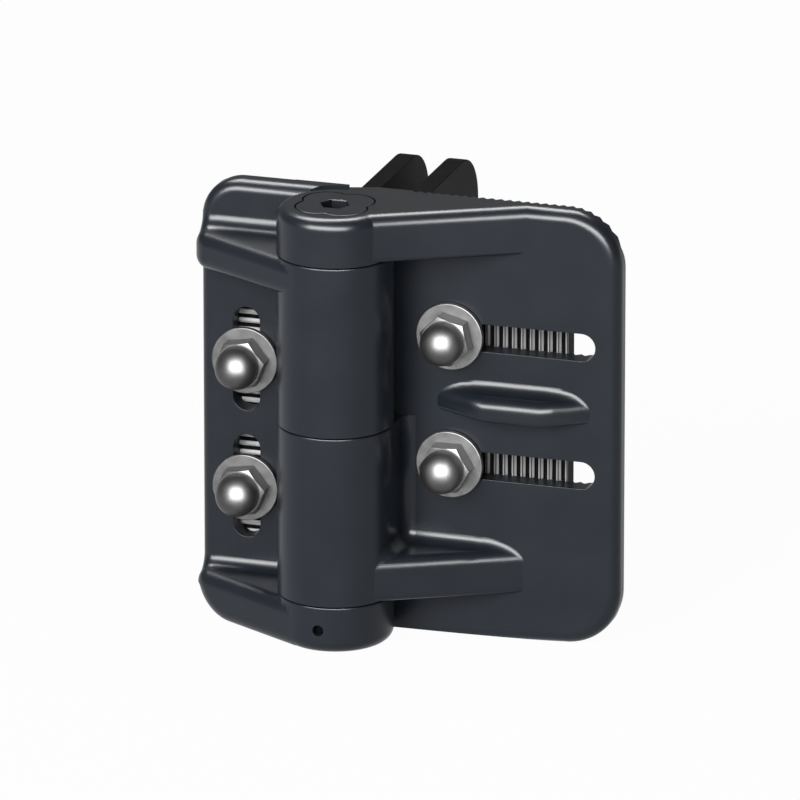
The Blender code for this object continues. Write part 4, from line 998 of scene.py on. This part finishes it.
def gate_leaf():
    """Rim, gusset, boss and knuckles, then hollows, teeth, bores, the adjuster's seat and the slots."""
    leaf = combine(gate_rim(), "UNION",
                   [knuckle(1, True, OVER[2], UNDER[1]), gusset(), boss()] + gusset_coves())
    inner = AXIS.x - SPLIT[0]
    step = BACK - RELIEF[1]
    relief = [(inner - OVERCUT, step), (inner, step), (AXIS.x + RELIEF[0], BACK),
              (AXIS.x + RELIEF[0], BACK + OVERCUT), (inner - OVERCUT, BACK + OVERCUT)]
    seat = TOP - LOBE["thickness"] - GAP
    cuts = [
        drum(HOLLOW, UNDER[1], OVER[0]),
        drum(HOLLOW, BOTTOM - OVERCUT, OVER[2]),
        slab(relief, "Z", BOTTOM - OVERCUT, TOP + OVERCUT),
        upright_teeth(GATE_HIGH.x + OVERCUT, BACK - SETBACK, BACK - TOOTH, BACK + OVERCUT),
        slab(lobe_outline(GAP), "Z", seat - GAP, TOP + OVERCUT),
        drum(BUSH_BORE, OVER[0] - GAP, seat),
        drum(FIXED_BORE + GAP, SEAMS[2], SEAMS[1]),
        drum(BUSH_BORE, UNDER[1] - LONG_BUSH - GAP, SEAMS[1]),
        drum(BUSH_BORE, SEAMS[2], OVER[2] + LONG_BUSH + GAP),
    ]
    middle = AXIS.x + (SLOT_START + SLOT_END) / 2
    for bolt in ("gate_upper", "gate_lower"):
        cuts.append(slot_cutter((middle, BOLTS[bolt].z), SLOT_END - SLOT_START, False))
    return combine(leaf, "DIFFERENCE", cuts)


show("gate_leaf_moulding", gate_leaf(), "gate_leaf", NYLON, "black_nylon")

# %% [markdown]
# Each bracket is a steel angle. Its plate lies behind the leaf and carries the teeth and the
# studs, and its leg runs back along the post or the gate. The leg's long edges are eased, as
# coated steel needs.

# %% Brackets
BRACKET = {"thickness": 4.2, "inset": 2.2, "corner": 5.0, "leg": 4.8, "leg_reach": 45.5, "leg_corner": 12.8,
           "ease": 0.35, "hole": 2.75, "hole_inset": 22.8, "hole_reach": 28.0}
STUD = {"head": 5.2, "head_height": 1.5, "radius": 3.15, "chamfer": 0.6}
LEG_START = {"post": -0.3, "gate": 12.3}


def leg(side):
    """A bracket's leg, with its two far corners round and its edges eased."""
    low, high = BOTTOM + BRACKET["inset"], TOP - BRACKET["inset"]
    corner = BRACKET["leg_corner"]
    tip = BACK + BRACKET["leg_reach"] - corner
    outline = [(-BRACKET["thickness"], high)] + arc((tip, high - corner), corner, 90, 0, CORNER)
    outline += arc((tip, low + corner), corner, 0, -90, CORNER) + [(-BRACKET["thickness"], low)]
    start = AXIS.x + LEG_START[side]
    bm = slab(outline, "X", start, start + BRACKET["leg"])
    return rounded(bm, lambda a, b: max(a.y, b.y) > 0 and abs(a.x - b.x) < MERGE, BRACKET["ease"], EASE_STEPS)


def bracket(side):
    """Plate, teeth and leg, then the studs' holes and seats and the leg's screw holes."""
    front, low, high = -BRACKET["thickness"], BOTTOM + BRACKET["inset"], TOP - BRACKET["inset"]
    x, thickness = BOLTS[f"{side}_upper"].x, BRACKET["leg"]
    start = AXIS.x + LEG_START[side]
    node_low, node_high = box_mm(f"{side}_bracket")
    if side == "post":
        inner, outer = start + thickness, node_low.x
        teeth = level_teeth(outer - OVERCUT, AXIS.x - POST_TEETH_START - GAP, front, front - TOOTH,
                            front + SINK)
    else:
        inner, outer = start, node_high.x
        teeth = upright_teeth(outer + OVERCUT, front, front - TOOTH, front + SINK)
    way = 1 if outer > inner else -1
    corner = BRACKET["corner"]
    ends = arc((0.0, high - corner), corner, 90, 0, CORNER) + arc((0.0, low + corner), corner, 0, -90, CORNER)
    outline = [(inner, high)] + [(outer - way * corner + way * u, v) for u, v in ends] + [(inner, low)]
    teeth = combine(teeth, "INTERSECT", [slab(outline, "Y", front - TOOTH - OVERCUT, 0.0)])
    made = combine(slab(outline, "Y", front, 0.0), "UNION", [teeth, leg(side)])
    cuts = []
    for level in ("upper", "lower"):
        centre = (x, BOLTS[f"{side}_{level}"].z)
        cuts.append(slab(ring_points(centre, STUD["radius"] + GAP, QUARTER), "Y", front - OVERCUT, OVERCUT))
        cuts.append(slab(ring_points(centre, STUD["head"] + GAP, QUARTER), "Y",
                         -STUD["head_height"] - GAP, OVERCUT))
    for z in (low + BRACKET["hole_inset"], high - BRACKET["hole_inset"]):
        hole = ring_points((BACK + BRACKET["hole_reach"], z), BRACKET["hole"], 2 * QUARTER)
        cuts.append(slab(hole, "X", start - OVERCUT, start + thickness + OVERCUT))
    return combine(made, "DIFFERENCE", cuts)


for side in ("post", "gate"):
    show(f"{side}_angle", bracket(side), f"{side}_bracket", COATED_PAINTED_TEETH[side], "black_steel")

# %% [markdown]
# Nuts, washers and studs are turned shapes: half a section spun once round its axis. The bolts
# point to the front, so each is spun upright and then laid forward.


# %% Laying a turned piece forward
def lay_forward(bm, bolt):
    """Turns a shape's height towards the front and moves it to its bolt."""
    bmesh.ops.rotate(bm, verts=bm.verts, cent=(0, 0, 0), matrix=Matrix.Rotation(math.pi / 2, 3, "X"))
    bmesh.ops.translate(bm, verts=bm.verts, vec=(BOLTS[bolt].x, 0.0, BOLTS[bolt].z))
    return bm


print("bolts:", list(BOLTS))

# %% [markdown]
# A washer lies on the front of its leaf, across the slot. It is stamped from sheet, so its rims
# are a little rounded, and the section that is spun has a small arc at each corner.

# %% Washers
WASHER = {"bore": 3.5, "radius": 8.35, "low": 10.4, "high": 11.8, "edge": 0.22}


def washer_profile():
    """A washer's section with its rims a little rounded, as stamping leaves them."""
    edge = WASHER["edge"]
    inner, outer = WASHER["bore"] + edge, WASHER["radius"] - edge
    low, high = WASHER["low"] + edge, WASHER["high"] - edge
    corners = ((outer, low), (outer, high), (inner, high), (inner, low))
    return [point for turn, corner in zip((-90, 0, 90, 180), corners)
            for point in arc(corner, edge, turn, turn + 90, SMALL_FILLET)]


for bolt in BOLTS:
    side, level = bolt.split("_")
    show(f"{bolt}_disc", lay_forward(turned(washer_profile()), bolt), f"{side}_washer_{level}", WASHER_ZINC,
         "washer_steel")

# %% [markdown]
# A domed nut is a hexagon whose corners are turned off at 30 degrees, with a round cap on it.
# Where the hexagon meets the turned limit, each flat gets its curved upper edge.

# %% Domed nuts
NUT = {"across": 11.1, "back": 12.1, "hex": 4.2, "height": 11.2, "dome": 5.2, "bore": 3.45, "bore_depth": 8.0}
NUT_TURN = {"post_upper": 9, "post_lower": 9, "gate_upper": 44, "gate_lower": 1}
NUT_SHARP, NUT_CHAMFER = 20, 30


def nut(turn):
    """One domed nut, standing on its hexagon at its real height above the bracket."""
    corner, flat = NUT["across"] / math.sqrt(3), NUT["across"] / 2
    back, top, shoulder_top = NUT["back"], NUT["back"] + NUT["height"], NUT["back"] + NUT["hex"]
    shoulder = shoulder_top - (corner + OVERCUT - flat) * math.tan(math.radians(NUT_CHAMFER))
    outline = arc((0, 0), corner, turn, 360 + turn, HEXAGON)[:-1]
    limit = turned([(0, back - OVERCUT), (corner + OVERCUT, back - OVERCUT), (corner + OVERCUT, shoulder),
                    (flat, shoulder_top), (flat, top), (0, top)])
    dome = turned([(0, back + OVERCUT), (NUT["dome"], back + OVERCUT)]
                  + arc((0, top - NUT["dome"]), NUT["dome"], 0, 90, 3 * FILLET)[:-1] + [(0, top)])
    bore = slab(ring_points((0, 0), NUT["bore"]), "Z", back - OVERCUT, back + NUT["bore_depth"])
    body = combine(slab(outline, "Z", back, shoulder_top), "INTERSECT", [limit])
    return combine(combine(body, "UNION", [dome]), "DIFFERENCE", [bore])


for bolt in BOLTS:
    side, level = bolt.split("_")
    show(f"{bolt}_domed_nut", lay_forward(nut(NUT_TURN[bolt]), bolt), f"{side}_nut_{level}", POLISHED_STEEL,
         "polished_nut", NUT_SHARP)

# %% [markdown]
# A stud is pressed into its bracket from behind. Its head lies flush there, and its shank runs
# through the leaf's slot and the washer and ends inside the nut, so it needs no thread here.

# %% Studs
STUD_END = NUT["back"] + NUT["bore_depth"] - GAP
stud_profile = [(0, 0), (STUD["head"], 0), (STUD["head"], STUD["head_height"]),
                (STUD["radius"], STUD["head_height"]), (STUD["radius"], STUD_END - STUD["chamfer"]),
                (STUD["radius"] - STUD["chamfer"], STUD_END), (0, STUD_END)]
for bolt in BOLTS:
    side, level = bolt.split("_")
    show(f"{bolt}_pressed_stud", lay_forward(turned(stud_profile), bolt), f"{side}_stud_{level}", STUD_STEEL,
         "bright_steel")

# %% [markdown]
# The adjuster is the lobed head on a turned stem, with a hexagon socket for a key. Its rim is
# rounded so that it catches the light.

# %% Tension adjuster
SOCKET = {"across": 6.4, "depth": 6.0}
LOBE_RIM = 0.3
STEM = {"foot": 40.45, "spigot": 4.4, "stem": 7.3, "flange": 10.3, "spigot_top": 46.45, "flange_low": 55.45,
        "flange_high": 56.65}


def adjuster():
    """Head, stem, flange and spigot in one piece, with its socket."""
    head = slab(lobe_outline(0), "Z", TOP - LOBE["thickness"], TOP)
    rounded(head, lambda a, b: min(a.z, b.z) > TOP - MERGE, LOBE_RIM, EASE_STEPS)
    neck = TOP - LOBE["thickness"] / 2
    stem = turned([(0, STEM["foot"]), (STEM["spigot"], STEM["foot"]), (STEM["spigot"], STEM["spigot_top"]),
                   (STEM["stem"], STEM["spigot_top"]), (STEM["stem"], STEM["flange_low"]),
                   (STEM["flange"], STEM["flange_low"]), (STEM["flange"], STEM["flange_high"]),
                   (STEM["stem"], STEM["flange_high"]), (STEM["stem"], neck), (0, neck)])
    bmesh.ops.translate(stem, verts=stem.verts, vec=AXIS)
    key = slab(arc(AXIS.xy, SOCKET["across"] / math.sqrt(3), 0, 360, HEXAGON)[:-1], "Z",
               TOP - SOCKET["depth"], TOP + OVERCUT)
    made = combine(combine(head, "UNION", [stem]), "DIFFERENCE", [key])
    return rounded(made, lambda a, b: min(a.z, b.z) > TOP - MERGE
                   and (a.xy - AXIS.xy).length < SOCKET["across"], LOBE_RIM, EASE_STEPS)


show("lobed_adjuster", adjuster(), "tension_adjuster", NYLON, "black_nylon")

# %% [markdown]
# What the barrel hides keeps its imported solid, with a finish of its own.

# %% Pieces inside the barrel
KEPT = {
    "hinge_tube": STUD_STEEL,
    "bush_top": ACETAL,
    "bush_middle": ACETAL,
    "bush_bottom": ACETAL,
    "thrust_washer_upper": ACETAL,
    "thrust_washer_lower": ACETAL,
    "spring_anchor": ACETAL,
    "torsion_spring": OILED_STEEL,
    "anchor_pin": DARK_STEEL,
}
for node, material in KEPT.items():
    nodes[node].data.materials.clear()
    nodes[node].data.materials.append(material)
print("kept nodes:", len(KEPT))
